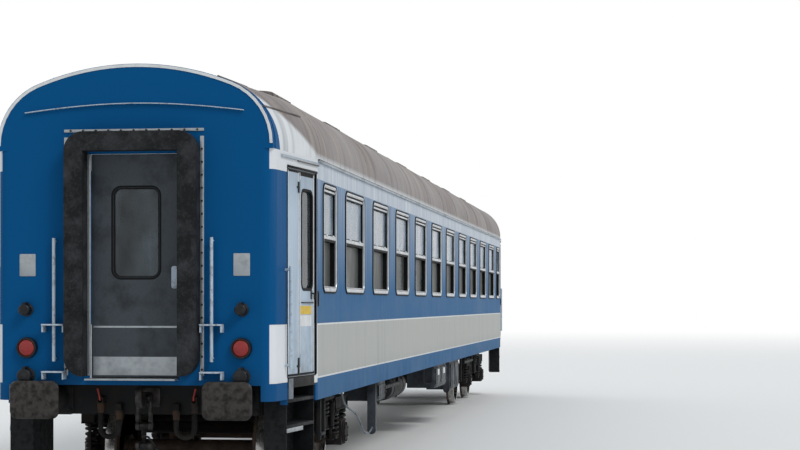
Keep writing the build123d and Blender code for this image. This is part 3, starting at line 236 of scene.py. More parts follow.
def livery(name, blue, cream, wear_and_sky_sheen):
    """Alkyd coach enamel sprayed on steel sheet: bands by height, a chalky film, streaks that rain
    has washed down, a painted reflection of the sky that pales the pillars between the windows towards
    their top, and track dirt along the skirt. Weathered to a low sheen. Wear is the share of the chalk
    and of the painted sky reflection that shows."""
    sizes = bpy.context.scene.coach_sizes
    colours = bpy.context.scene.coach_colours
    blue, cream = getattr(colours, blue), getattr(colours, cream)
    material, tree, shader, place = blank(name)
    x, y, z = add_node(tree, "ShaderNodeSeparateXYZ", {0: place.outputs["Object"]}).outputs
    white = linear("#DCDEDD")
    bands = add_node(tree, "ShaderNodeValToRGB", {"Fac": maths(tree, "DIVIDE", z, ROOF_TOP)})
    ramp = bands.color_ramp
    ramp.interpolation = "CONSTANT"
    rows = ((sizes.cream_bottom - sizes.line_width, white), (sizes.cream_bottom, cream),
            (sizes.cream_top - sizes.line_width / 2, white),
            (sizes.cream_top + sizes.line_width / 2, blue), (sizes.blue_top, colours.frieze))
    ramp.elements.remove(ramp.elements[1])
    ramp.elements[0].color = (*tuple(blue)[:3], 1.0)
    for at, band in rows:
        ramp.elements.new(up(at) / ROOF_TOP).color = (*tuple(band)[:3], 1.0)
    # The end faces, and the rim of the arch over the eave, are blue
    face = remap(tree, maths(tree, "ABSOLUTE", x), BODY_HALF - 0.024, BODY_HALF - 0.020)
    rim = maths(tree, "MAXIMUM", face, remap(tree, z, up(EAVE), up(EAVE) + 0.004))
    film = patches(tree, place, 1.7, 0.42, 0.74, 0.12 * wear_and_sky_sheen, (0.5, 1.0, 1.4))
    washed = patches(tree, place, 0.45, 0.52, 0.80, 0.16 * wear_and_sky_sheen, (5.0, 5.0, 0.26))
    stained = patches(tree, place, 0.36, 0.54, 0.78, 0.22 * wear_and_sky_sheen, (4.0, 4.0, 0.20))
    low = remap(tree, z, up(1.36), up(0.98), 0.0, 0.25)
    splash = patches(tree, place, 0.20, 0.30, 0.70, 1.0, (1.0, 1.0, 0.5))
    dirt = maths(tree, "MULTIPLY", low, splash)
    # Between the windows rain has washed chalk down from the frieze in streaks, and their pale blue-grey that
    # grows towards the top is painted reflection of the sky
    top = remap(tree, z, up(2.05), up(3.0), 0.0, 0.9 * wear_and_sky_sheen)
    rain_runs_and_sky_sheen = patches(tree, place, 0.26, 0.28, 0.66, 1.0, (6.0, 6.0, 0.12))
    rain_runs_and_sky_sheen = maths(tree, "MULTIPLY", top, rain_runs_and_sky_sheen)
    specks = patches(tree, place, 0.014, 0.70, 0.78, 0.35, (1, 1, 1), 2.0)
    outside = coats(tree, bands.outputs[0], (film, linear("#A9AFB2")), (washed, linear("#B6BDC4")),
                    (stained, linear("#55606A")), (rain_runs_and_sky_sheen, linear("#A7B4C3")), (rim, blue),
                    (dirt, colours.grime), (specks, colours.grime))
    # The inner faces are a plain laminate
    nx, ny, _ = add_node(tree, "ShaderNodeSeparateXYZ", {0: place.outputs["Normal"]}).outputs
    side_back = maths(tree, "LESS_THAN", maths(tree, "MULTIPLY", y, ny), -0.6)
    end_back = maths(tree, "LESS_THAN", maths(tree, "MULTIPLY", x, nx), -11.8)
    inner = maths(tree, "MAXIMUM", side_back, end_back)
    dull = remap(tree, washed, 0.0, 0.16, 0.50, 0.66)
    feed(tree, shader, {"Base Color": coats(tree, outside, (inner, linear("#CFC9BB"))),
                        "Roughness": maths(tree, "MULTIPLY_ADD", dirt, 0.3, dull),
                        "Specular IOR Level": 0.03})
    # Sheets are a little wavy between their frames, and an upright weld stands between windows
    wave = patches(tree, place, 0.7, 0.2, 0.8, 1.0, (1.4, 1.0, 1.2), 1.0)
    share = maths(tree, "MULTIPLY_ADD", x, 1 / WINDOW_PITCH, 0.5)
    from_weld = maths(tree, "ABSOLUTE", maths(tree, "WRAP", share, -0.5, 0.5))
    relief(tree, shader, (wave, 0.012, 0.5), (remap(tree, from_weld, 0.003, 0.0), 0.003, 0.7))
    return material


def roof_coat(name):
    """Matt bitumen roof paint, chalked by the sun and streaked by rain from crown to eave; the pale
    frieze colour is carried up over the shoulder towards the tapered ends, and the rim at the very end is
    blue."""
    colours = bpy.context.scene.coach_colours
    material, tree, shader, place = blank(name)
    x, y, z = add_node(tree, "ShaderNodeSeparateXYZ", {0: place.outputs["Object"]}).outputs
    drips = patches(tree, place, 0.55, 0.46, 0.70, 0.85, (2.2, 0.30, 0.30), 7.0)
    soot = patches(tree, place, 0.42, 0.50, 0.76, 0.80, (2.6, 0.28, 0.28), 6.0)
    blots = patches(tree, place, 1.3, 0.45, 0.72, 0.6, (0.8, 1.2, 1.2), 6.0)
    grit = patches(tree, place, 0.011, 0.48, 0.80, 0.4, (1, 1, 1), 2.0)
    weathered = coats(tree, colours.roof, (blots, linear("#7B716C")), (drips, linear("#A59C94")),
                      (soot, linear("#5F5855")), (grit, linear("#514B48")))
    # The pale colour ends on a line that climbs from the straight roof's eave to the very end
    far = maths(tree, "ABSOLUTE", x)
    rise = remap(tree, far, STRAIGHT_HALF, BODY_HALF, up(3.335), up(3.80))
    pale = remap(tree, maths(tree, "SUBTRACT", rise, z), -0.02, 0.04)
    reach = remap(tree, z, up(3.28), up(3.95), BODY_HALF - 0.20, BODY_HALF - 0.03)
    cap = maths(tree, "GREATER_THAN", far, reach)
    # The ceiling's own faces look down and inwards
    _, ny, nz = add_node(tree, "ShaderNodeSeparateXYZ", {0: place.outputs["Normal"]}).outputs
    across = maths(tree, "MULTIPLY", y, ny)
    lift = maths(tree, "SUBTRACT", z, 2.0)
    ceiling = maths(tree, "LESS_THAN", maths(tree, "MULTIPLY_ADD", nz, lift, across), -0.2)
    shoulder = coats(tree, colours.frieze, (soot, linear("#8E9294")))
    feed(tree, shader, {
        "Base Color": coats(tree, weathered, (pale, shoulder), (cap, colours.end_blue),
                            (ceiling, linear("#D6D4CC"))),
        "Roughness": remap(tree, blots, 0.0, 1.0, 0.62, 0.85), "Specular IOR Level": 0.25})
    wave = patches(tree, place, 0.8, 0.2, 0.8, 1.0, (1.5, 1, 1), 1.0)
    relief(tree, shader, (wave, 0.015, 0.4), (grit, 0.0015, 0.5))
    return material


def worn(name, base, second, cover, rough, metallic=0.0, size=0.12, stretch=(1, 1, 1)):
    """Painted, cast or bare metal under a second tone of dirt, rust or dust in patches. Cover is
    the share under the second tone, rough the gloss of each tone, size a patch in metres."""
    material, tree, shader, place = blank(name)
    mask = patches(tree, place, size, 0.60 - cover * 0.35, 0.80 - cover * 0.30, 0.9, stretch)
    fine = patches(tree, place, size / 12, 0.50, 0.76, 0.4)
    second = linear(second)
    feed(tree, shader, {"Base Color": coats(tree, linear(base), (mask, second), (fine, second)),
                        "Roughness": remap(tree, mask, 0.0, 1.0, *rough), "Metallic": metallic,
                        "Specular IOR Level": 0.25})
    relief(tree, shader, (fine, 0.0008, 0.5))
    return material


def door_enamel(name):
    """Light alkyd door enamel: satin, greyed by hands and rain, dirty along its lower edge, and darkened
    towards its top by painted shade under the lintel.
    """
    colours = bpy.context.scene.coach_colours
    material, tree, shader, place = blank(name)
    z = add_node(tree, "ShaderNodeSeparateXYZ", {0: place.outputs["Object"]}).outputs[2]
    rain = patches(tree, place, 0.30, 0.48, 0.76, 0.45, (4.0, 4.0, 0.25))
    pale = patches(tree, place, 0.40, 0.55, 0.80, 0.30, (3.0, 3.0, 0.3))
    low = remap(tree, z, up(1.80), up(1.22), 0.0, 0.55)
    dirt = maths(tree, "MULTIPLY", low, patches(tree, place, 0.11, 0.35, 0.70))
    # Painted shade: the enamel greys towards the top of the door, under the lintel
    painted_top_shade = remap(tree, z, up(2.75), up(3.05), 0.0, 0.45)
    feed(tree, shader, {
        "Base Color": coats(tree, colours.door, (rain, linear("#84919E")), (pale, linear("#CDD8E2")),
                            (painted_top_shade, linear("#84929E")), (dirt, colours.grime)),
        "Roughness": remap(tree, rain, 0.0, 1.0, 0.42, 0.65), "Specular IOR Level": 0.25})
    relief(tree, shader, (patches(tree, place, 0.35, 0.2, 0.8, 1.0, (1, 1, 0.6), 1.0), 0.004, 0.4))
    return material


def drawn_aluminium(name, base, oxide):
    """Drawn and anodised aluminium section: satin, with fine lines along it and grey oxide."""
    material, tree, shader, place = blank(name)
    blotch = patches(tree, place, 0.09, 0.45, 0.75, 0.6)
    # Drawing lines are about a tenth of a millimetre and are drawn at 4 mm so that they show
    lines = patches(tree, place, 0.004, 0.3, 0.7, 1.0, (0.12, 1, 1), 2.0)
    feed(tree, shader, {"Base Color": coats(tree, linear(base), (blotch, linear(oxide))),
                        "Roughness": remap(tree, blotch, 0.0, 1.0, 0.28, 0.52), "Metallic": 0.6})
    relief(tree, shader, (lines, 0.0003, 0.5))
    return material


def aged_rubber(name, base, bloom, rough):
    """Extruded or moulded black rubber: matt, with a grey bloom where it has aged."""
    material, tree, shader, place = blank(name)
    broad = patches(tree, place, 0.16, 0.42, 0.75, 0.6)
    fine = patches(tree, place, 0.02, 0.52, 0.76, 0.4)
    bloom = linear(bloom)
    feed(tree, shader, {"Base Color": coats(tree, linear(base), (broad, bloom), (fine, bloom)),
                        "Roughness": rough, "Specular IOR Level": 0.15})
    relief(tree, shader, (patches(tree, place, 0.006, 0.3, 0.7), 0.0005, 0.5))
    return material


def pane_glass(name, tint_and_painted_light, film, clear, rough, index):
    """Toughened float glass: a slightly wavy reflection over a tint, under a film of dirt. On the window
    panes the tint is painted light and shade: the sky's reflection on the upper panes and the dark inside
    on the lower ones. Clear and rough give the clearness and gloss of the cleanest and the dirtiest spots."""
    material, tree, shader, place = blank(name)
    dust = patches(tree, place, 0.30, 0.32, 0.70, 1.0, (1.0, 1.0, 0.5))
    feed(tree, shader, {"Base Color": coats(tree, linear(tint_and_painted_light), (dust, linear(film))),
                        "Transmission Weight": remap(tree, dust, 0.0, 1.0, *clear),
                        "Roughness": remap(tree, dust, 0.0, 1.0, *rough), "IOR": index})
    relief(tree, shader, (patches(tree, place, 0.30, 0.2, 0.8, 1.0, (1.0, 1.0, 0.6), 2.0), 0.006, 0.5))
    return material


def woven_cloth(name, second):
    """Plain-woven seat moquette. Threads of 1 mm are drawn 5 mm apart so that they show."""
    colours = bpy.context.scene.coach_colours
    material, tree, shader, place = blank(name)
    weave = add_node(tree, "ShaderNodeTexChecker", {"Vector": place.outputs["Object"], "Scale": 200.0})
    worn_spots = patches(tree, place, 0.25, 0.45, 0.75, 0.5)
    stripe = maths(tree, "MULTIPLY", weave.outputs["Fac"], 0.35)
    feed(tree, shader, {"Base Color": coats(tree, colours.seats, (stripe, linear(second)),
                                            (worn_spots, linear("#4A5B72"))),
                        "Roughness": 0.92, "Sheen Weight": 0.35})
    relief(tree, shader, (weave.outputs["Fac"], 0.0008, 0.5))
    return material


def moulded(name, base, shade_code, rough, size):
    """Moulded plastic, laminate or gloss paint: an even tone with faint dirt and uneven gloss. Size
    is a patch of dirt in metres."""
    material, tree, shader, place = blank(name)
    tone = patches(tree, place, size, 0.42, 0.78, 0.5)
    feed(tree, shader, {"Base Color": coats(tree, linear(base), (tone, linear(shade_code))),
                        "Roughness": remap(tree, tone, 0.0, 1.0, rough, rough + 0.2)})
    relief(tree, shader, (patches(tree, place, size / 25, 0.3, 0.7), 0.0004, 0.5))
    return material


# Each finish: how it is made up, its real material, and its own tones
FINISHES = {
    # Enamel of the straight sides: a milky satin blue under chalk
    "side": (livery, "coach enamel, faded side", "side_blue", "cream", 1.0),
    # The side enamel again on the end modules, painted as the corner posts look in their own light: a deeper
    # blue that is painted shade, a whiter cream that is painted light, and little chalk
    "end": (livery, "coach enamel, end module", "end_blue", "post_cream", 0.06),
    # Bitumen on the roof sheets: matt brown grey, streaked towards the eaves
    "roof": (roof_coat, "bitumen roof paint, chalked"),
    # Newer enamel of the doors: the palest and smoothest paint on the side
    "door": (door_enamel, "door enamel, light grey"),
    # Anodised aluminium window sections, bright with grey oxide
    "aluminium": (drawn_aluminium, "anodised aluminium, drawn", "#C3C7CA", "#868D92"),
    # The same metal where hands and rain have dulled it: clamps, end plates and step edges
    "dull_aluminium": (drawn_aluminium, "anodised aluminium, weathered", "#9BA1A5", "#6B7277"),
    # Ethylene rubber seals: matt black
    "seal": (aged_rubber, "rubber seal, extruded", "#060708", "#121314", 0.65),
    # Gangway bellows: thick moulded rubber, greyed by the weather
    "bellows": (aged_rubber, "rubber bellows, moulded", "#17181A", "#45474A", 0.72),
    # Brake hose rubber: brownish black with the print of its fabric winding
    "hose": (aged_rubber, "rubber hose, fabric wound", "#131313", "#3A3733", 0.66),
    # Upper panes: a pale blue-grey tint that is painted reflection of the sky, under the dust
    "glass": (pane_glass, "toughened glass, grey tint", "#7C90A2", "#8FA2B2", (0.45, 0.12),
              (0.04, 0.30), 1.33),
    # Lower panes: browned by the track's dust, over a dark tint that is painted shade of the dark inside
    "low_glass": (pane_glass, "toughened glass, dusty", "#4B5355", "#63645F", (0.50, 0.20),
                  (0.22, 0.50), 1.18),
    # Door panes: a darker tint
    "door_glass": (pane_glass, "toughened glass, dark tint", "#39444A", "#65737B", (0.75, 0.40),
                   (0.03, 0.25), 1.40),
    # Welded steel under bitumen paint, dusted brown, and darkened to near black as painted shade under the
    # coach
    "frame": (worn, "bitumen-painted steel, dusty", "#0E1114", "#2A2622", 0.40, (0.66, 0.9)),
    # The same paint on the bogies: browner, from the brake blocks, and a bluish near black as painted shade
    # under the coach
    "bogie": (worn, "bitumen-painted steel, brake dust", "#101215", "#2A231F", 0.60, (0.66, 0.92)),
    # Rigging and blocks: dark cast iron, rust brown
    "brake": (worn, "cast iron, brake dust", "#211D1B", "#4A382C", 0.7, (0.7, 0.92)),
    # Machine-grey equipment boxes, sprayed and then dirtied from the track
    "box": (worn, "grey machine paint, dirty", "#3F454B", "#24252A", 0.45, (0.5, 0.8), 0.0, 0.3),
    # Brackets' grey paint: paler than the boxes, rubbed clean
    "bracket": (worn, "mid grey machine paint", "#68727C", "#3F4042", 0.35, (0.45, 0.75), 0.0, 0.2),
    # Pipes, dampers and reservoirs: black paint, satin under dust
    "dark_box": (worn, "black machine paint, dirty", "#0E1013", "#211F1D", 0.4, (0.55, 0.85)),
    # Rolled wheel steel: rusty brown disc
    "wheel": (worn, "rolled wheel steel, rusted", "#4A3D34", "#2B2623", 0.5, (0.6, 0.85), 0.35, 0.15),
    # Tread and other rubbed steel: bright grey
    "tread": (worn, "steel, polished by the rail", "#A6A5A3", "#5D5853", 0.2, (0.25, 0.5), 0.9, 0.1),
    # Hooks, links and bolts: dark, with an oily sheen
    "steel": (worn, "forged steel, oiled", "#3E3C3A", "#1D1B1A", 0.5, (0.38, 0.62), 0.6, 0.06),
    # Plungers and screw threads: wet black grease
    "grease": (worn, "steel, graphite grease", "#2B2B2C", "#101010", 0.6, (0.3, 0.55), 0.5, 0.05),
    # Coils: lacquer worn through to brown at the turns
    "spring": (worn, "spring steel, black lacquer", "#141517", "#2A231D", 0.40, (0.5, 0.8), 0.2, 0.05),
    # Step treads: dark chequered plate, scuffed
    "grating": (worn, "chequered steel, worn", "#16191C", "#0D0D0E", 0.45, (0.6, 0.85), 0.2, 0.05),
    # Grab rails and irons: pale enamel chipped by hands and couplings
    "rail": (worn, "steel tube, light grey enamel", "#B4C2CE", "#74797D", 0.25, (0.4, 0.65), 0.0, 0.05),
    # Handles and hinges: satin black
    "black": (worn, "black enamel, satin", "#101214", "#2C2D2E", 0.3, (0.35, 0.6), 0.0, 0.05),
    # Gutters: the frieze's pale enamel, dulled by soot
    "gutter": (worn, "gutter enamel, pale", "#A9B1B9", "#848A90", 0.35, (0.6, 0.85), 0.0, 0.3),
    # Ventilators, strips and pipes of the roof: darker and sootier than its sheets
    "vent": (worn, "roof fittings paint, sooty", "#6D6662", "#423E3C", 0.45, (0.6, 0.85), 0.0, 0.3),
    # Blank plates and door edge strips: clean white enamel
    "white": (moulded, "white enamel plate", "#D9DBDB", "#A3A5A4", 0.42, 0.1),
    # Blank patch on the door: yellow vinyl, browned at the edges
    "yellow": (moulded, "yellow vinyl patch", "#D8B21C", "#9A8126", 0.45, 0.1),
    # Brake cock handles: dull signal red
    "red": (moulded, "red enamel, cock handle", "#9B2A22", "#5A2420", 0.4, 0.1),
    # Tail lamps: deep red, glossy
    "lens": (moulded, "red lamp lens, acrylic", "#8E1512", "#5E0F0D", 0.12, 0.05),
    # Gangway doors: dark enamel behind the bellows
    "end_door": (worn, "dark grey door enamel", "#3B4248", "#24282B", 0.35, (0.4, 0.6), 0.0, 0.25),
    # Inside walls and trims: warm and even
    "laminate": (moulded, "laminate, warm grey", "#CFC9BB", "#AFA89A", 0.45, 0.5),
    # Seats: a soft blue weave with no sheen but its nap
    "cloth": (woven_cloth, "moquette, blue", "#1F2B3D"),
    # Seat backs and bases: mid grey plastic
    "seat_frame": (moulded, "moulded seat shell, grey", "#7C8082", "#5C6062", 0.5, 0.2),
    # Luggage racks: satin bars
    "rack": (drawn_aluminium, "aluminium rack section", "#B3B6B8", "#84888B"),
    # Floor: matt and mottled
    "lino": (moulded, "sheet flooring, grey brown", "#6A635B", "#4A453F", 0.55, 0.3),
    # Ceiling lamps: milky white
    "diffuser": (moulded, "opal acrylic diffuser", "#E4E4DF", "#C9C9C4", 0.35, 0.3),
}


def finish(key):
    """The material of a finish, made once."""
    maker, name, *tones = FINISHES[key]
    return bpy.data.materials.get(name) or maker(name, *tones)


def give(key, *names):
    """Puts a finish on carried-over nodes."""
    for name in names:
        for holder in NODES[name].material_slots:
            holder.material = finish(key)


# Shapes


class Form:
    """Points and faces in the model's frame, gathered until they become one piece. A place
    function turns along, height over the rail and depth into a point of the model."""

    def __init__(self, place=lambda u, z, d: (u, d, up(z))):
        self.points = []
        self.faces = []
        self.place = place

    def add(self, points, faces):
        start = len(self.points)
        self.points.extend(tuple(point) for point in points)
        self.faces.extend(tuple(start + i for i in face) for face in faces)

    def slab(self, u0, u1, z0, z1, d0, d1):
        """A box along, up and deep in the form's own plane."""
        corners = [self.place(u, z, d) for d in (d0, d1) for z in (z0, z1) for u in (u0, u1)]
        self.add(corners, [(0, 2, 3, 1), (4, 5, 7, 6), (0, 1, 5, 4), (2, 6, 7, 3), (0, 4, 6, 2),
                           (1, 3, 7, 5)])

    def rings(self, rings, closed=False):
        """Joins rings of equal count; closed joins the last to the first, else both are capped."""
        count = len(rings[0])
        faces = []
        for i in range(len(rings) if closed else len(rings) - 1):
            j = (i + 1) % len(rings)
            for k in range(count):
                m = (k + 1) % count
                faces.append((i * count + k, i * count + m, j * count + m, j * count + k))
        if not closed:
            faces.append(tuple(reversed(range(count))))
            faces.append(tuple((len(rings) - 1) * count + k for k in range(count)))
        self.add([point for ring in rings for point in ring], faces)

    def surround(self, u, z, width, height, radius, profile, steps=6, closed=True):
        """A closed band round a rounded opening; its profile lists insets and depths."""
        rings = []
        for inset, depth in profile:
            outline = rounded(width - 2 * inset, height - 2 * inset, max(0.002, radius - inset), steps)
            rings.append([self.place(u + a, z + b, depth) for a, b in outline])
        self.rings(rings, closed)

    def plate(self, u, z, width, height, radius, profile, steps=6):
        """A plate with rounded corners; its profile lists insets and depths, back to front."""
        self.surround(u, z, width, height, radius, profile, steps, closed=False)

    def tube(self, path, radius, sides=10):
        """A round tube along a list of model points."""
        path = [Vector(point) for point in path]
        rings = []
        side = None
        for i, point in enumerate(path):
            along = (path[min(i + 1, len(path) - 1)] - path[max(i - 1, 0)]).normalized()
            side = along.orthogonal() if side is None else side - along * side.dot(along)
            side.normalize()
            other = along.cross(side)
            rings.append([point + (side * cos(a) + other * sin(a)) * radius
                          for a in (2 * pi * k / sides for k in range(sides))])
        self.rings(rings)

    def lathe(self, centre, axis, profile, sides=32):
        """Turns a profile of places along an axis and radii about a centre of the model."""
        axis = Vector(axis).normalized()
        side = axis.orthogonal().normalized()
        other = axis.cross(side)
        rings = []
        for along, radius in profile:
            rings.append([Vector(centre) + axis * along
                          + (side * cos(a) + other * sin(a)) * max(radius, 0.0004)
                          for a in (2 * pi * k / sides for k in range(sides))])
        self.rings(rings)

    def bar(self, path, y0, y1, thick):
        """A flat bar between two sides along a path of lengths and heights."""
        rings = []
        for i, (x, z) in enumerate(path):
            ahead, behind = path[min(i + 1, len(path) - 1)], path[max(i - 1, 0)]
            along = Vector((ahead[0] - behind[0], ahead[1] - behind[1])).normalized()
            nx, nz = -along.y * thick / 2, along.x * thick / 2
            rings.append([(x + nx, y0, up(z + nz)), (x + nx, y1, up(z + nz)),
                          (x - nx, y1, up(z - nz)), (x - nx, y0, up(z - nz))])
        self.rings(rings)


def rounded(width, height, radius, steps=6):
    """Points of a rounded rectangle about the origin."""
    points = []
    for corner, (a, b) in enumerate(((1, 1), (-1, 1), (-1, -1), (1, -1))):
        for k in range(steps + 1):
            angle = (corner + k / steps) * pi / 2
            points.append((a * (width / 2 - radius) + radius * cos(angle),
                           b * (height / 2 - radius) + radius * sin(angle)))
    return points


def arch(half, inset, shoulder_steps=8, crown_steps=24):
    """Points across the roof's arch, as sideways places and heights over the rail."""
    side = half - SHOULDER_RADIUS
    fall = SHOULDER_Z - ROOF_TOP
    crown = (SHOULDER_RADIUS**2 - side**2 - fall**2) / (2 * (fall + SHOULDER_RADIUS))
    lean = atan2(side, SHOULDER_Z - ROOF_TOP + crown)
    small, large = SHOULDER_RADIUS - inset, crown - inset
    points = []
    for k in range(shoulder_steps + 1):
        angle = (pi / 2 - lean) * k / shoulder_steps
        points.append((side + small * cos(angle), SHOULDER_Z + small * sin(angle)))
    for k in range(1, crown_steps):
        angle = lean * (1 - 2 * k / crown_steps)
        points.append((large * sin(angle), ROOF_TOP - crown + large * cos(angle)))
    return points + [(-y, z) for y, z in reversed(points[:shoulder_steps + 1])]


def on_roof(x, sy, share, proud=0.0):
    """A point of the roof's outer face, at a share of the way from the eave to the other one."""
    points = arch(half_at(x), -proud)
    y, z = points[round(share * (len(points) - 1))]
    return (x, sy * y, up(z))


def about_origin(u, z, d):
    """Place of a pattern that is repeated: along X, height and sideways about its own origin."""
    return (u, d, z)


def side_place(sy):
    """Plane of a side wall: along X, height over the rail and depth behind its face."""
    return lambda u, z, d: (u, sy * (HALF_WIDTH - d), up(z))


def door_place(ex, sy):
    """Plane of an entrance door: from its end jamb inwards, height and depth."""
    along = Vector((-ex * cos(TAPER_ANGLE), sy * sin(TAPER_ANGLE), 0))
    outward = Vector((ex * sin(TAPER_ANGLE), sy * cos(TAPER_ANGLE), 0))
    corner = Vector((ex * DOOR_JAMB_X, sy * half_at(DOOR_JAMB_X), 0))
    return lambda u, z, d: corner + along * u - outward * d + Vector((0, 0, up(z)))


def end_place(ex):
    """Plane of an end face: across Y, height over the rail and depth behind its face."""
    return lambda u, z, d: (ex * (BODY_HALF - d), u, up(z))


def mesh_of(form, name, bevel=0.0):
    """Makes a form a mesh with outward faces and, where asked, bevelled edges."""
    mesh = bpy.data.meshes.new(name)
    mesh.from_pydata(form.points, [], form.faces)
    work = bmesh.new()
    work.from_mesh(mesh)
    bmesh.ops.recalc_face_normals(work, faces=work.faces)
    if bevel:
        sharp = [e for e in work.edges if len(e.link_faces) == 2 and e.calc_face_angle() > radians(35)]
        bmesh.ops.bevel(work, geom=sharp, offset=bevel, segments=2, affect="EDGES",
                        clamp_overlap=True, profile=0.5)
    work.to_mesh(mesh)
    work.free()
    return mesh


def settle(mesh, name, key, body, replaces, angle):
    """Gives a finished mesh its object, finish and body, and hides the parts that it replaces."""
    mesh.materials.clear()
    mesh.materials.append(finish(key))
    for face in mesh.polygons:
        face.material_index = 0
    mesh.shade_smooth()
    mesh.set_sharp_from_angle(angle=radians(angle))
    made = bpy.data.objects.new(name, mesh)
    bpy.context.scene.collection.objects.link(made)
    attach(made, body)
    if replaces:
        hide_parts(*replaces)
    return made


def piece(form, name, key, body="carbody", bevel=0.0, replaces=(), angle=38):
    """Turns a form into a finished piece that rides on a body."""
    return settle(mesh_of(form, name, bevel), name, key, body, replaces, angle)


def repeat_tree():
    """Geometry Nodes that set a pattern on each point, turned and sized, as real mesh."""
    tree = bpy.data.node_groups.get("repeat on points")
    if tree:
        return tree
    tree = bpy.data.node_groups.new("repeat on points", "GeometryNodeTree")
    for name, kind in (("Points", "NodeSocketGeometry"), ("Pattern", "NodeSocketObject"),
                       ("Turn", "NodeSocketVector"), ("Size", "NodeSocketFloat"),
                       ("Finish", "NodeSocketMaterial")):
        tree.interface.new_socket(name, in_out="INPUT", socket_type=kind)
    tree.interface.new_socket("Result", in_out="OUTPUT", socket_type="NodeSocketGeometry")
    entry = add_node(tree, "NodeGroupInput").outputs
    info = add_node(tree, "GeometryNodeObjectInfo", {"Object": entry["Pattern"], "As Instance": True})
    turn = add_node(tree, "FunctionNodeEulerToRotation", {"Euler": entry["Turn"]})
    placed = add_node(tree, "GeometryNodeInstanceOnPoints", {
        "Points": entry["Points"], "Instance": info.outputs["Geometry"], "Rotation": turn.outputs[0],
        "Scale": entry["Size"]})
    real = add_node(tree, "GeometryNodeRealizeInstances", {"Geometry": placed.outputs[0]})
    coated = add_node(tree, "GeometryNodeSetMaterial", {"Geometry": real.outputs[0],
                                                        "Material": entry["Finish"]})
    add_node(tree, "NodeGroupOutput", {"Result": coated.outputs[0]})
    return tree


def worked_out(host):
    """The mesh of an object with its modifiers worked out."""
    depsgraph = bpy.context.evaluated_depsgraph_get()
    return bpy.data.meshes.new_from_object(host.evaluated_get(depsgraph))


def repeat(form, name, points, key, body="carbody", bevel=0.0, replaces=(), angle=38,
           turn=(0.0, 0.0, 0.0), size=1.0):
    """Repeats a form or a mesh on a list of points by Geometry Nodes and keeps it as a piece."""
    if isinstance(form, Form):
        form = mesh_of(form, name + "_pattern", bevel)
    pattern = bpy.data.objects.new(name + "_pattern", form)
    spots = bpy.data.meshes.new(name + "_spots")
    spots.from_pydata([tuple(point) for point in points], [], [])
    host = bpy.data.objects.new(name + "_host", spots)
    for item in (pattern, host):
        bpy.context.scene.collection.objects.link(item)
    modifier = host.modifiers.new("Repeat", "NODES")
    modifier.node_group = repeat_tree()
    values = {"Pattern": pattern, "Turn": turn, "Size": size, "Finish": finish(key)}
    for item in modifier.node_group.interface.items_tree:
        if item.in_out == "INPUT" and item.name in values:
            modifier[item.identifier] = values[item.name]
    mesh = worked_out(host)
    mesh.name = name
    for item in (host, pattern):
        bpy.data.objects.remove(item)
    return settle(mesh, name, key, body, replaces, angle)


def stuffed(form, name, cap, count):
    """Stuffs a sewn form by cloth simulation. No point moves further than the cap, and the result is
    thinned to a count of triangles because it stands in the coach many times."""
    scene = bpy.context.scene
    host = bpy.data.objects.new(name, mesh_of(form, name))
    scene.collection.objects.link(host)
    grid = host.modifiers.new("Grid", "REMESH")
    grid.mode = "VOXEL"
    grid.voxel_size = 0.006
    host.data = worked_out(host)
    host.modifiers.clear()
    start = [vertex.co.copy() for vertex in host.data.vertices]
    cloth = host.modifiers.new("Cloth", "CLOTH")
    cloth.settings.use_pressure = True
    cloth.settings.uniform_pressure_force = 4.0
    cloth.settings.effector_weights.gravity = 0.0
    for moment in range(1, 21):
        scene.frame_set(moment)
    blown = worked_out(host)
    for vertex, before in zip(blown.vertices, start):
        move = vertex.co - before
        if move.length > cap:
            vertex.co = before + move * (cap / move.length)
    host.modifiers.clear()
    host.data = blown
    scene.frame_set(1)
    thin = host.modifiers.new("Thin", "DECIMATE")
    thin.ratio = count / (2 * len(host.data.polygons))
    mesh = worked_out(host)
    bpy.data.objects.remove(host)
    return mesh


def bolt(axis, radius=0.011, proud=0.009):
    """A hexagon bolt head on a washer about the origin, standing out on both sides of its seat."""
    form = Form()
    form.lathe((0, 0, 0), axis, [(-proud, radius * 0.9), (-proud * 0.3, radius), (proud * 0.3, radius),
                                 (proud, radius * 0.9)], sides=6)
    return form


def arc_path(points, steps=6):
    """Rounds the corners of a path of model points by sampling a curve through their middles."""
    points = [Vector(point) for point in points]
    path = [points[0]]
    for i in range(1, len(points) - 1):
        start = (points[i - 1] + points[i]) / 2 if i > 1 else points[0].lerp(points[1], 0.6)
        stop = (points[i] + points[i + 1]) / 2 if i < len(points) - 2 else points[i].lerp(points[i + 1], 0.4)
        path += [start.lerp(points[i], t).lerp(points[i].lerp(stop, t), t)
                 for t in (k / steps for k in range(steps + 1))]
    return path + [points[-1]]


# Operators, one for each group of pieces


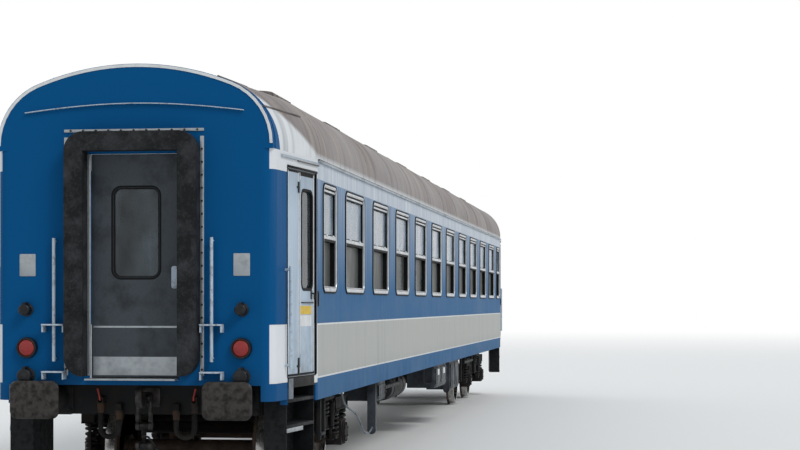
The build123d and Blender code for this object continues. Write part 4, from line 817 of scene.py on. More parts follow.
class CoachFinishes(bpy.types.Operator):
    """Paints the frame's own parts: shell, roof, doors, running gear and inside"""

    bl_idname = "coach.finishes"
    bl_label = "Finishes"

    def execute(self, context):
        give("side", "side_wall_right", "side_wall_left")
        give("end", "vestibule_near", "vestibule_far")
        give("roof", "roof")
        for end, side, _, _ in CORNERS:
            give("door", f"door_narrow_leaf_{end}_{side}", f"door_wide_leaf_{end}_{side}")
            give("door_glass", f"door_glass_{end}_{side}")
        for end, _ in ENDS:
            give("end_door", f"gangway_door_{end}")
            give("door_glass", f"gangway_door_glass_{end}")
            give("bogie", f"bogie_frame_{end}", f"bogie_bolster_{end}", f"axle_boxes_{end}")
            give("brake", f"brake_gear_{end}")
            give("spring", f"springs_{end}")
            give("wheel", f"wheelset_{end}_1", f"wheelset_{end}_2")
        give("aluminium", "window_frames")
        give("glass", "window_glass")
        give("bellows", "gangway_bellows")
        give("frame", "underframe", "buffer_casings")
        give("steel", "buffer_heads", "draw_gear")
        give("hose", "brake_hoses")
        give("grating", "entrance_steps")
        give("rail", "handrails")
        give("lens", "tail_lamps")
        give("gutter", "rain_gutters")
        give("vent", "roof_ventilators")
        give("box", "equipment_boxes", "underfloor_brackets")
        give("dark_box", "air_reservoirs", "underfloor_pipes")
        give("lino", "floor")
        give("laminate", "partitions")
        give("cloth", "seats")
        give("rack", "luggage_racks")
        return {"FINISHED"}


class CoachWindows(bpy.types.Operator):
    """Builds the drop windows: seal, frame, middle bar, sash, two panes at their depths and sill"""

    bl_idname = "coach.windows"
    bl_label = "Windows"

    def execute(self, context):
        s = context.scene.coach_sizes
        height = s.window_top - s.window_bottom
        middle = (s.window_top + s.window_bottom) / 2
        bar_top = s.bar_centre + s.bar_height / 2
        bar_low = s.bar_centre - s.bar_height / 2
        table = [(x, s.window_width) for x in WINDOW_MIDDLES]
        table += [(ex * END_WINDOW_X, s.end_window_width) for _, ex in ENDS]
        names = ("seals", "frames", "bars", "linings", "sashes", "upper", "lower", "trims")
        forms = {name: Form() for name in names}
        inner = s.frame_width + 0.006
        sash_top = s.rail_bottom + 0.036
        for side, sy in SIDES:
            for form in forms.values():
                form.place = side_place(sy)
            for x, width in table:
                clear = width / 2 - inner
                forms["seals"].surround(x, middle, width, height, s.window_radius, [
                    (-s.seal_width, 0.004), (-s.seal_width, -0.008), (-s.seal_width * 0.6, -0.012),
                    (0.002, -0.012), (0.004, 0.010), (0.000, 0.020)])
                forms["frames"].surround(x, middle, width, height, s.window_radius, [
                    (0.002, 0.026), (0.002, -0.007), (0.007, -0.010), (s.frame_width * 0.55, -0.010),
                    (s.frame_width * 0.62, -0.005), (s.frame_width, -0.005), (s.frame_width, 0.026)])
                forms["linings"].surround(x, middle, width, height, s.window_radius, [
                    (0.003, 0.028), (s.frame_width - 0.001, 0.028), (s.frame_width - 0.001, 0.008),
                    (inner, 0.008), (inner, 0.069), (0.003, 0.069)])
                bars = forms["bars"]
                bars.slab(x - clear - 0.004, x + clear + 0.004, bar_low + 0.010, bar_top, -0.004,
                          s.lower_depth - 0.002)
                bars.slab(x - clear - 0.004, x + clear + 0.004, s.rail_bottom + 0.010, sash_top - 0.005,
                          0.001, 0.016)
                bars.slab(x - clear - 0.002, x + clear + 0.002, s.window_bottom + inner - 0.002,
                          s.window_bottom + inner + 0.008, 0.004, s.lower_depth - 0.002)
                for way in (-1, 1):
                    bars.slab(x + way * clear * 0.55 - 0.035, x + way * clear * 0.55 + 0.035,
                              bar_top - 0.012, bar_top + 0.010, -0.010, 0.002)
                sash = forms["sashes"]
                sash.surround(x, (bar_top + sash_top) / 2, 2 * clear, sash_top - bar_top, 0.020, [
                    (0.0, s.upper_depth + 0.006), (0.0, s.upper_depth - 0.005),
                    (0.014, s.upper_depth - 0.005), (0.014, s.upper_depth + 0.006)], 3)
                sash.slab(x - clear, x + clear, bar_low - 0.014, bar_low + 0.012, 0.002,
                          s.lower_depth - 0.004)
                sash.slab(x - clear, x + clear, sash_top - 0.002, s.window_top - inner + 0.002, 0.008,
                          0.030)
                sash.slab(x - clear, x + clear, s.rail_bottom, s.rail_bottom + 0.012, 0.002, 0.015)
                sash.slab(x - clear, x + clear, s.window_top - s.frame_width, s.window_top - 0.034,
                          -0.008, 0.000)
                forms["upper"].slab(x - clear + 0.006, x + clear - 0.006, bar_top - 0.004,
                                    sash_top - 0.006, s.upper_depth, s.upper_depth + 0.005)
                lower = (s.window_bottom + inner + bar_top) / 2
                forms["lower"].plate(x, lower, 2 * clear - 0.002, bar_top - s.window_bottom - inner,
                                     s.window_radius - inner, [(0.0, s.lower_depth + 0.006),
                                                               (0.0, s.lower_depth)])
                forms["trims"].surround(x, middle, width, height, s.window_radius, [
                    (-0.030, 0.068), (-0.030, 0.078), (-0.015, 0.084), (0.030, 0.084), (0.040, 0.070)])
        piece(forms["seals"], "window_seals", "seal")
        piece(forms["frames"], "window_frame_sections", "aluminium",
              replaces=("window_frames",))
        piece(forms["linings"], "window_linings", "seal")
        piece(forms["bars"], "window_bars", "aluminium", bevel=0.0025)
        piece(forms["sashes"], "window_sash_seals", "seal")
        piece(forms["upper"], "window_panes_upper", "glass",
              replaces=("window_glass",))
        piece(forms["lower"], "window_panes_lower", "low_glass")
        piece(forms["trims"], "window_inner_trims", "laminate")
        return {"FINISHED"}


class CoachDoors(bpy.types.Operator):
    """Builds the entrance doors' strips, rubbers, handles, hooks and blank patches, and the plates,
    blocks, brackets, sills, seals, a painted lintel shadow and grips round their openings"""

    bl_idname = "coach.doors"
    bl_label = "Entrance doors"

    def execute(self, context):
        face = DOOR_RECESS
        back = DOOR_RECESS + DOOR_THICK
        glass_u, glass_z, glass_w, glass_h = DOOR_GLASS
        for end, side, ex, sy in CORNERS:
            place = door_place(ex, sy)
            narrow, wide = f"narrow_leaf_{end}_{side}", f"wide_leaf_{end}_{side}"
            tail = f"{end}_{side}"
            edge = Form(place)
            for u, proud in ((0.024, 0.008), (FOLD_AT - 0.030, 0.004)):
                edge.slab(u, u + 0.014, DOOR_LOW + 0.02, DOOR_HIGH - 0.01, face - proud, face + 0.004)
            piece(edge, f"door_narrow_strips_{tail}", "white", narrow, 0.001)
            gasket = Form(place)
            gasket.slab(0.0085, 0.022, DOOR_LOW + 0.001, DOOR_HIGH - 0.001, face - 0.002, back - 0.001)
            gasket.slab(0.022, FOLD_AT - 0.004, DOOR_LOW + 0.001, DOOR_LOW + 0.016, face - 0.002,
                        face + 0.004)
            gasket.slab(FOLD_AT - 0.014, FOLD_AT - 0.0035, DOOR_LOW + 0.016, DOOR_HIGH - 0.001,
                        face - 0.0015, back - 0.001)
            gasket.slab(0.022, FOLD_AT - 0.014, DOOR_HIGH - 0.020, DOOR_HIGH - 0.001, face - 0.002,
                        face + 0.004)
            piece(gasket, f"door_narrow_gaskets_{tail}", "seal", narrow, 0.001)
            hooks = Form(place)
            for z, half in ((2.988, 0.050), (1.340, 0.075)):
                hooks.slab(FOLD_AT - 0.050, FOLD_AT - 0.015, z - half, z + half, face - 0.011,
                           face + 0.004)
                hooks.slab(FOLD_AT - 0.080, FOLD_AT - 0.015, z - 0.010, z + 0.010, face - 0.007,
                           face + 0.004)
            piece(hooks, f"door_hooks_{tail}", "black", narrow, 0.0015)

            guard = Form(place)
            guard.slab(FREE_EDGE - 0.020, FREE_EDGE - 0.0003, DOOR_LOW + 0.001, DOOR_HIGH - 0.001,
                       face - 0.004, back - 0.0005)
            for z0, z1 in ((DOOR_LOW + 0.001, DOOR_LOW + 0.016), (DOOR_HIGH - 0.038, DOOR_HIGH - 0.001)):
                guard.slab(FOLD_AT + 0.0045, FREE_EDGE - 0.020, z0, z1, face - 0.002, face + 0.004)
            guard.surround(glass_u, glass_z, glass_w, glass_h, 0.070, [
                (-0.016, face + 0.002), (-0.015, face - 0.006), (-0.004, face - 0.008),
                (0.010, face - 0.003), (0.012, face + 0.018), (0.000, face + 0.019)])
            guard.surround(glass_u, glass_z, glass_w, glass_h, 0.070, [
                (-0.026, back - 0.002), (-0.024, back + 0.003), (0.006, back + 0.004),
                (0.010, face + 0.027), (0.000, face + 0.027)])
            piece(guard, f"door_wide_rubbers_{tail}", "seal", wide, 0.0)
            strip = Form(place)
            for u, proud in ((FOLD_AT + 0.012, 0.003), (FREE_EDGE - 0.036, 0.009)):
                strip.slab(u, u + 0.012, DOOR_LOW + 0.02, DOOR_HIGH - 0.01, face - proud, face + 0.004)
            piece(strip, f"door_wide_strips_{tail}", "white", wide, 0.001)

            handle = Form(place)
            lock = FREE_EDGE - 0.090
            handle.plate(lock, 2.000, 0.044, 0.090, 0.014, [(0.0, face + 0.003), (0.0, face - 0.004),
                                                            (0.003, face - 0.007)], 4)
            handle.tube([place(lock, 2.012, face - 0.004), place(lock, 2.012, face - 0.024),
                         place(lock, 2.000, face - 0.032), place(lock, 1.955, face - 0.032)], 0.008, 10)
            rod = (FOLD_AT + 0.065, FREE_EDGE - 0.050)
            handle.tube([place(rod[0], 1.925, face + 0.002), place(rod[0], 1.925, face - 0.008),
                         place(rod[0] + 0.010, 1.925, face - 0.012),
                         place(rod[1] - 0.010, 1.925, face - 0.012), place(rod[1], 1.925, face - 0.008),
                         place(rod[1], 1.925, face + 0.002)], 0.006, 8)
            piece(handle, f"door_handle_{tail}", "black", wide, 0.0)
            inside = Form(place)
            pull = FOLD_AT + 0.082
            inside.tube([place(pull, 2.00, back - 0.002), place(pull, 2.00, back + 0.030),
                         place(pull, 1.97, back + 0.040), place(pull, 1.63, back + 0.040),
                         place(pull, 1.60, back + 0.030), place(pull, 1.60, back - 0.002)], 0.011, 10)
            piece(inside, f"door_pull_{tail}", "rail", wide)
            for key, z, high in (("yellow", 1.855, 0.080), ("white", 1.755, 0.100)):
                patch = Form(place)
                patch.plate((FOLD_AT + FREE_EDGE) / 2 - 0.030, z, 0.345, high, 0.006,
                            [(0.0, face + 0.002), (0.0, face - 0.0015)], 3)
                piece(patch, f"door_patch_{key}_{tail}", key, wide)

        jambs, blocks, brackets, sills, seals, rails = (Form() for _ in range(6))
        for _, _, ex, sy in CORNERS:
            place = door_place(ex, sy)
            for form in (jambs, blocks, brackets, sills, seals):
                form.place = place
            jambs.slab(DOOR_OPENING + 0.014, DOOR_OPENING + 0.044, 1.250, 3.146, -0.004, 0.008)
            blocks.slab(DOOR_OPENING - 0.060, DOOR_OPENING + 0.040, 1.168, 1.236, -0.008, 0.004)
            brackets.slab(0.020, 0.150, 1.050, 1.235, -0.009, 0.004)
            sills.slab(-0.001, DOOR_OPENING - 0.010, 1.150, 1.238, -0.004, 0.004)
            seals.slab(-0.014, -0.001, 1.245, 3.150, -0.005, 0.006)
            # The black strip along the top of the opening is painted shadow under the lintel, built as a seal
            seals.slab(-0.014, DOOR_OPENING + 0.030, 3.147, 3.168, -0.012, 0.006)
            seals.slab(-0.001, DOOR_OPENING + 0.001, 1.238, 1.249, -0.006, 0.006)
            seals.slab(DOOR_OPENING - 0.007, DOOR_OPENING + 0.014, 1.249, 3.147, -0.009, 0.006)
            grip = DOOR_OPENING + 0.060
            rails.tube([place(grip, 2.030, 0.004), place(grip, 2.030, -0.007), place(grip, 2.020, -0.0105),
                        place(grip, 1.905, -0.0105), place(grip, 1.895, -0.007),
                        place(grip, 1.895, 0.004)], 0.008, 10)
        piece(jambs, "door_jamb_plates", "gutter", bevel=0.0015)
        piece(blocks, "door_corner_blocks", "white", bevel=0.0015)
        piece(brackets, "door_step_brackets", "bracket", bevel=0.0015)
        piece(sills, "door_sills", "frame", bevel=0.0015)
        piece(seals, "door_jamb_seals", "seal", bevel=0.0015)
        piece(rails, "door_side_grips", "black")
        return {"FINISHED"}


class CoachRoof(bpy.types.Operator):
    """Builds the roof's welted seams, rain strips, cable pipe and ventilator hoods"""

    bl_idname = "coach.roof"
    bl_label = "Roof"

    def execute(self, context):
        seam = Form()
        outer, inner = arch(HALF_WIDTH, -0.004), arch(HALF_WIDTH, 0.004)
        band = []
        for (y0, z0), (y1, z1) in zip(outer, inner):
            band.append([(-0.014, y0, z0), (0.014, y0, z0), (0.014, y1, z1), (-0.014, y1, z1)])
        seam.rings(band)
        spots = [(x + WINDOW_PITCH / 2, 0, RAIL) for x in WINDOW_MIDDLES[:-1]]
        spots += [(way * (STRAIGHT_HALF - 0.16), 0, RAIL) for way in (-1, 1)]
        repeat(seam, "roof_seams", spots, "roof")
        strips = Form()
        for _, ex in ENDS:
            for sy in (-1, 1):
                for share, x0, x1 in ((0.10, 10.95, 12.06), (0.24, 11.15, 12.05)):
                    path = [on_roof(ex * (x0 + (x1 - x0) * k / 8), sy, share, 0.004) for k in range(9)]
                    strips.tube(path, 0.009, 8)
        piece(strips, "roof_rain_strips", "vent")
        # A dark strip under the gutter over each door and on top of the long ones is the gutter's painted
        # shadow line
        shadow_lines = Form()
        for _, _, ex, sy in CORNERS:
            shadow_lines.place = door_place(ex, sy)
            shadow_lines.slab(0.300, 0.950, 3.222, 3.231, -0.0175, 0.000)
        for _, sy in SIDES:
            shadow_lines.place = side_place(sy)
            shadow_lines.slab(-STRAIGHT_HALF, STRAIGHT_HALF, 3.279, 3.292, -0.0178, 0.000)
        piece(shadow_lines, "gutter_lips", "vent")
        rim = Form()
        for _, ex in ENDS:
            half = half_at(BODY_HALF)
            ring = []
            for (y0, z0), (y1, z1) in zip(arch(half, 0.004), arch(half, 0.030)):
                ring.append([(ex * (BODY_HALF - 0.003), y0, up(z0)), (ex * (BODY_HALF + 0.006), y0, up(z0)),
                             (ex * (BODY_HALF + 0.006), y1, up(z1)), (ex * (BODY_HALF - 0.003), y1, up(z1))])
            rim.rings(ring)
        piece(rim, "end_arch_strips", "white")
        pipe = Form()
        clip = Form(about_origin)
        clip.slab(-0.020, 0.020, -0.022, 0.016, -0.020, 0.020)
        spots = []
        for sy in (-1, 1):
            pipe.tube([on_roof(x, sy, 0.30, 0.018) for x in (-10.3, -5.0, 0.0, 5.0, 10.3)], 0.012, 8)
            spots += [on_roof(i * 1.6 - 9.6, sy, 0.30, 0.018) for i in range(13)]
        piece(pipe, "roof_pipes", "vent")
        repeat(clip, "roof_pipe_clips", spots, "vent", bevel=0.004)
        hood = Form()
        hood.slab(-0.012, 0.012, 3.920, 4.050, -0.178, 0.178)
        spots = [(bay * 3.1 + i * 0.22, sy * 0.600, 0) for bay in range(-3, 4) for sy in (-1, 1)
                 for i in (-2, -1, 0, 1, 2)]
        repeat(hood, "roof_ventilator_ribs", spots, "vent", bevel=0.006)
        return {"FINISHED"}


class CoachEnds(bpy.types.Operator):
    """Builds the end faces' lamps, sockets, clamps, bolts, step irons and gangway door fittings"""

    bl_idname = "coach.ends"
    bl_label = "End faces"

    def execute(self, context):
        lenses, bezels, clamps, sockets, irons, plates = (Form() for _ in range(6))
        clamp_bolts = []
        for end, ex in ENDS:
            place = end_place(ex)
            for form in (lenses, bezels, clamps, sockets, irons, plates):
                form.place = place
            for sy in (-1, 1):
                lamp = place(sy * 0.980, 1.520, 0)
                bezels.lathe(lamp, (ex, 0, 0), [(0.0, 0.095), (0.030, 0.095), (0.048, 0.090),
                                                (0.048, 0.076), (0.030, 0.074), (0.030, 0.020)], 40)
                lenses.lathe(lamp, (ex, 0, 0), [(0.028, 0.073), (0.040, 0.073), (0.050, 0.060),
                                                (0.054, 0.035), (0.055, 0.0)], 40)
                for z, radius in ((1.270, 0.060), (1.860, 0.048)):
                    spot = place(sy * 0.985, z, 0)
                    sockets.lathe(spot, (ex, 0, 0), [(0.0, radius * 1.25), (0.012, radius * 1.25),
                                                     (0.014, radius), (0.075, radius * 0.95),
                                                     (0.080, radius * 1.08), (0.098, radius * 1.06),
                                                     (0.104, radius * 0.9)], 28)
                    sockets.slab(sy * 0.985 - 0.014, sy * 0.985 + 0.014, z + radius, z + radius * 1.4,
                                 -0.100, 0.0)
                for z in (1.300, 1.300 + 0.42):
                    irons.slab(sy * 0.720 - 0.100, sy * 0.720 + 0.100, z, z + 0.014, -0.110, 0.002)
                    for way in (-1, 1):
                        irons.slab(sy * 0.720 + way * 0.094 - 0.006, sy * 0.720 + way * 0.094 + 0.006,
                                   z - 0.060, z, -0.100, 0.002)
                clamps.slab(sy * 0.604, sy * 0.640, 1.275, 3.400, -0.008, 0.003)
                clamps.slab(sy * 0.395, sy * 0.428, 1.275, 3.250, -0.008, 0.003)
                clamp_bolts += [place(sy * 0.622, 1.33 + i * 0.115, -0.008) for i in range(18)]
                plates.plate(sy * 0.980, 2.260, 0.150, 0.200, 0.008, [(0.0, 0.002), (0.0, -0.004),
                                                                      (0.002, -0.005)], 3)
            clamps.slab(-0.640, 0.640, 3.444, 3.470, -0.008, 0.003)
            clamp_bolts += [place(-0.58 + i * 0.116, 3.457, -0.008) for i in range(11)]
            plates.slab(-0.410, 0.410, 1.236, 1.250, -0.149, 0.060)
            rain = []
            for y in (i * 0.1 - 1.0 for i in range(21)):
                z = 3.60 + 0.10 * cos(y * 1.3)
                rain.append([place(y, z, 0.002), place(y, z, -0.026), place(y, z - 0.008, -0.026),
                             place(y, z - 0.008, 0.002)])
            irons.rings(rain)
        piece(bezels, "lamp_bezels", "black", replaces=("tail_lamps",))
        piece(lenses, "lamp_lenses", "lens")
        piece(sockets, "jumper_sockets", "black", bevel=0.002)
        piece(irons, "end_step_irons", "rail", bevel=0.002)
        piece(clamps, "bellows_clamps", "dull_aluminium", bevel=0.002)
        piece(plates, "end_plates", "dull_aluminium", bevel=0.001)
        repeat(bolt((1, 0, 0)), "bellows_clamp_bolts", clamp_bolts, "steel")
        for end, ex in ENDS:
            place = end_place(ex)
            face = BODY_HALF - GANGWAY_DOOR_FACE
            rubber, fittings, seams = Form(place), Form(place), Form(place)
            rubber.surround(0, 2.550, 0.420, 0.800, 0.070, [
                (-0.022, face + 0.002), (-0.020, face - 0.0008), (-0.004, face - 0.0009),
                (0.010, face + 0.006), (0.010, face + 0.0195), (0.000, face + 0.0195)])
            rubber.surround(0, 2.550, 0.420, 0.800, 0.070, [
                (-0.022, face + 0.038), (-0.018, face + 0.044), (0.004, face + 0.044),
                (0.010, face + 0.027), (0.000, face + 0.027)])
            piece(rubber, f"gangway_door_rubber_{end}", "seal", f"gangway_door_{end}")
            fittings.plate(-0.350, 2.150, 0.055, 0.200, 0.020, [(0.0, face + 0.002), (0.0, face - 0.0008)], 4)
            fittings.tube([place(-0.350, 2.240, face + 0.038), place(-0.350, 2.240, face + 0.072),
                           place(-0.350, 2.220, face + 0.080), place(-0.350, 2.080, face + 0.080),
                           place(-0.350, 2.060, face + 0.072), place(-0.350, 2.060, face + 0.038)], 0.010)
            piece(fittings, f"gangway_door_handles_{end}", "rail", f"gangway_door_{end}")
            seams.slab(-0.395, 0.395, 1.700, 1.716, face - 0.0008, face + 0.004)
            seams.slab(-0.395, 0.395, 1.275, 1.440, face - 0.0008, face + 0.004)
            piece(seams, f"gangway_door_kick_{end}", "dull_aluminium", f"gangway_door_{end}")
        return {"FINISHED"}


class CoachBuffers(bpy.types.Operator):
    """Builds the buffers, the screw coupling and the brake hose ends"""

    bl_idname = "coach.buffers"
    bl_label = "Buffers and coupling"

    def execute(self, context):
        casings, plungers, heads, hooks, links, screws, fittings, cocks = (Form() for _ in range(8))
        base_bolts, threads = [], []
        for end, ex in ENDS:
            for sy in (-1, 1):
                seat = (ex * HEADSTOCK, sy * BUFFER_Y, up(BUFFER_Z))
                casings.place = lambda u, z, d: (ex * (HEADSTOCK + d), u, up(z))
                casings.plate(sy * BUFFER_Y, BUFFER_Z - 0.022, 0.330, 0.286, 0.030, [
                    (0.0, 0.0), (0.0, 0.020), (0.005, 0.025)], 4)
                casings.lathe(seat, (ex, 0, 0), [(0.020, 0.124), (0.050, 0.124), (0.090, 0.112),
                                                 (0.330, 0.110), (0.345, 0.124), (0.400, 0.124),
                                                 (0.400, 0.100)], 48)
                base_bolts += [(ex * (HEADSTOCK + 0.030), sy * BUFFER_Y + a * 0.135, up(BUFFER_Z) + b)
                               for a in (-1, 1) for b in (-0.130, 0.088)]
                plungers.lathe(seat, (ex, 0, 0), [(0.380, 0.098), (0.585, 0.098), (0.600, 0.108),
                                                  (0.612, 0.108)], 48)
                heads.place = lambda u, z, d: (ex * (FACE_HALF - d), u, up(z))
                heads.plate(sy * BUFFER_Y, BUFFER_Z, 0.450, 0.340, 0.070, [
                    (0.020, 0.040), (0.004, 0.036), (0.0, 0.030), (0.0, 0.018), (0.006, 0.011),
                    (0.030, 0.007), (0.070, 0.004), (0.110, 0.0015), (0.140, 0.0005), (0.165, 0.0)], 10)
                for y in (0.440, 0.270):
                    top = 1.000 if y > 0.4 else 0.940
                    spot = (ex * (HEADSTOCK + 0.055), sy * y, up(top))
                    fittings.lathe(spot, (0, 0, -1), [(-0.005, 0.034), (0.040, 0.034), (0.046, 0.030),
                                                      (0.080, 0.030), (0.084, 0.025)], 20)
                spot = (ex * (HEADSTOCK + 0.055), sy * 0.440, up(1.030))
                fittings.lathe(spot, (ex, 0, 0), [(-0.050, 0.026), (0.020, 0.026), (0.030, 0.020)], 20)
                cocks.tube([(spot[0] + ex * 0.032, spot[1], spot[2]),
                            (spot[0] + ex * 0.036, spot[1], spot[2] + 0.030),
                            (spot[0] + ex * 0.040, spot[1] + sy * 0.02, spot[2] + 0.110)], 0.009, 8)
            outline = [(0.000, -0.047), (0.180, -0.050), (0.230, -0.085), (0.285, -0.094), (0.335, -0.070),
                       (0.364, -0.020), (0.366, 0.035), (0.352, 0.085), (0.330, 0.098), (0.318, 0.075),
                       (0.322, 0.030), (0.305, 0.000), (0.278, -0.004), (0.258, 0.015), (0.250, 0.050),
                       (0.225, 0.058), (0.180, 0.050), (0.000, 0.047)]
            hooks.rings([[(ex * (HEADSTOCK + x), y, up(BUFFER_Z + z)) for x, z in outline]
                         for y in (-0.030, 0.030)])
            hooks.rings([[(ex * (HEADSTOCK - 0.002), 0.11 * a, up(BUFFER_Z + 0.09 * b))
                          for a, b in ((1, 1), (-1, 1), (-1, -1), (1, -1))],
                         [(ex * (HEADSTOCK + 0.018), 0.11 * a, up(BUFFER_Z + 0.09 * b))
                          for a, b in ((1, 1), (-1, 1), (-1, -1), (1, -1))]])
            x = ex * 11.760
            for sy in (-1, 1):
                links.tube([(x, sy * 0.055, up(1.075)), (x, sy * 0.057, up(0.95)), (x, sy * 0.060, up(0.85)),
                            (x, sy * 0.055, up(0.790))], 0.019, 12)
                links.lathe((x, sy * 0.055, up(1.060)), (0, 1, 0), [(-0.014, 0.040), (0.014, 0.040)], 24)
                links.lathe((x, sy * 0.058, up(0.805)), (0, 1, 0), [(-0.016, 0.040), (0.016, 0.040)], 24)
                links.tube([(x, sy * 0.060, up(0.640)), (x, sy * 0.062, up(0.560)),
                            (x, sy * 0.056, up(0.475)), (x, sy * 0.030, up(0.448)),
                            (x, 0, up(0.442))], 0.017, 12)
                links.lathe((x, sy * 0.058, up(0.625)), (0, 1, 0), [(-0.016, 0.038), (0.016, 0.038)], 24)
            for z in (0.805, 0.625):
                screws.lathe((x, 0, up(z)), (0, 1, 0), [(-0.055, 0.026), (-0.030, 0.034), (0.030, 0.034),
                                                        (0.055, 0.026)], 24)
            screws.lathe((x, 0, up(1.060)), (0, 1, 0), [(-0.066, 0.024), (0.066, 0.024)], 24)
            screws.lathe((x, 0, up(0.595)), (0, 0, 1), [(0.0, 0.019), (0.240, 0.019)], 24)
            screws.tube([(x, 0, up(0.716)), (x + ex * 0.012, -0.040, up(0.705)),
                         (x + ex * 0.020, -0.110, up(0.630)), (x + ex * 0.020, -0.118, up(0.600))], 0.010, 8)
            screws.lathe((x + ex * 0.020, -0.120, up(0.585)), (0, 0, 1), [(-0.03, 0.0), (-0.022, 0.022),
                                                                        (0.0, 0.030), (0.022, 0.022),
                                                                        (0.03, 0.0)], 20)
            threads += [(x, 0, up(0.640) + i * 0.008) for i in range(18) if not 8 <= i <= 10]
        piece(casings, "buffer_casings_turned", "frame", replaces=("buffer_casings",))
        piece(plungers, "buffer_plungers", "grease", replaces=("buffer_heads",))
        piece(heads, "buffer_heads_dished", "steel", angle=50)
        piece(hooks, "coupling_hooks", "steel", bevel=0.006, replaces=("draw_gear",))
        piece(links, "coupling_links", "steel")
        piece(screws, "coupling_screws", "grease")
        piece(fittings, "hose_unions", "brake", bevel=0.001)
        piece(cocks, "hose_cock_handles", "red")
        repeat(bolt((1, 0, 0), 0.020, 0.016), "buffer_base_bolts", base_bolts, "frame")
        ring = Form()
        ring.lathe((0, 0, 0), (0, 0, 1), [(-0.003, 0.019), (0.0, 0.0225), (0.003, 0.019)], 24)
        repeat(ring, "coupling_threads", threads, "grease")
        return {"FINISHED"}


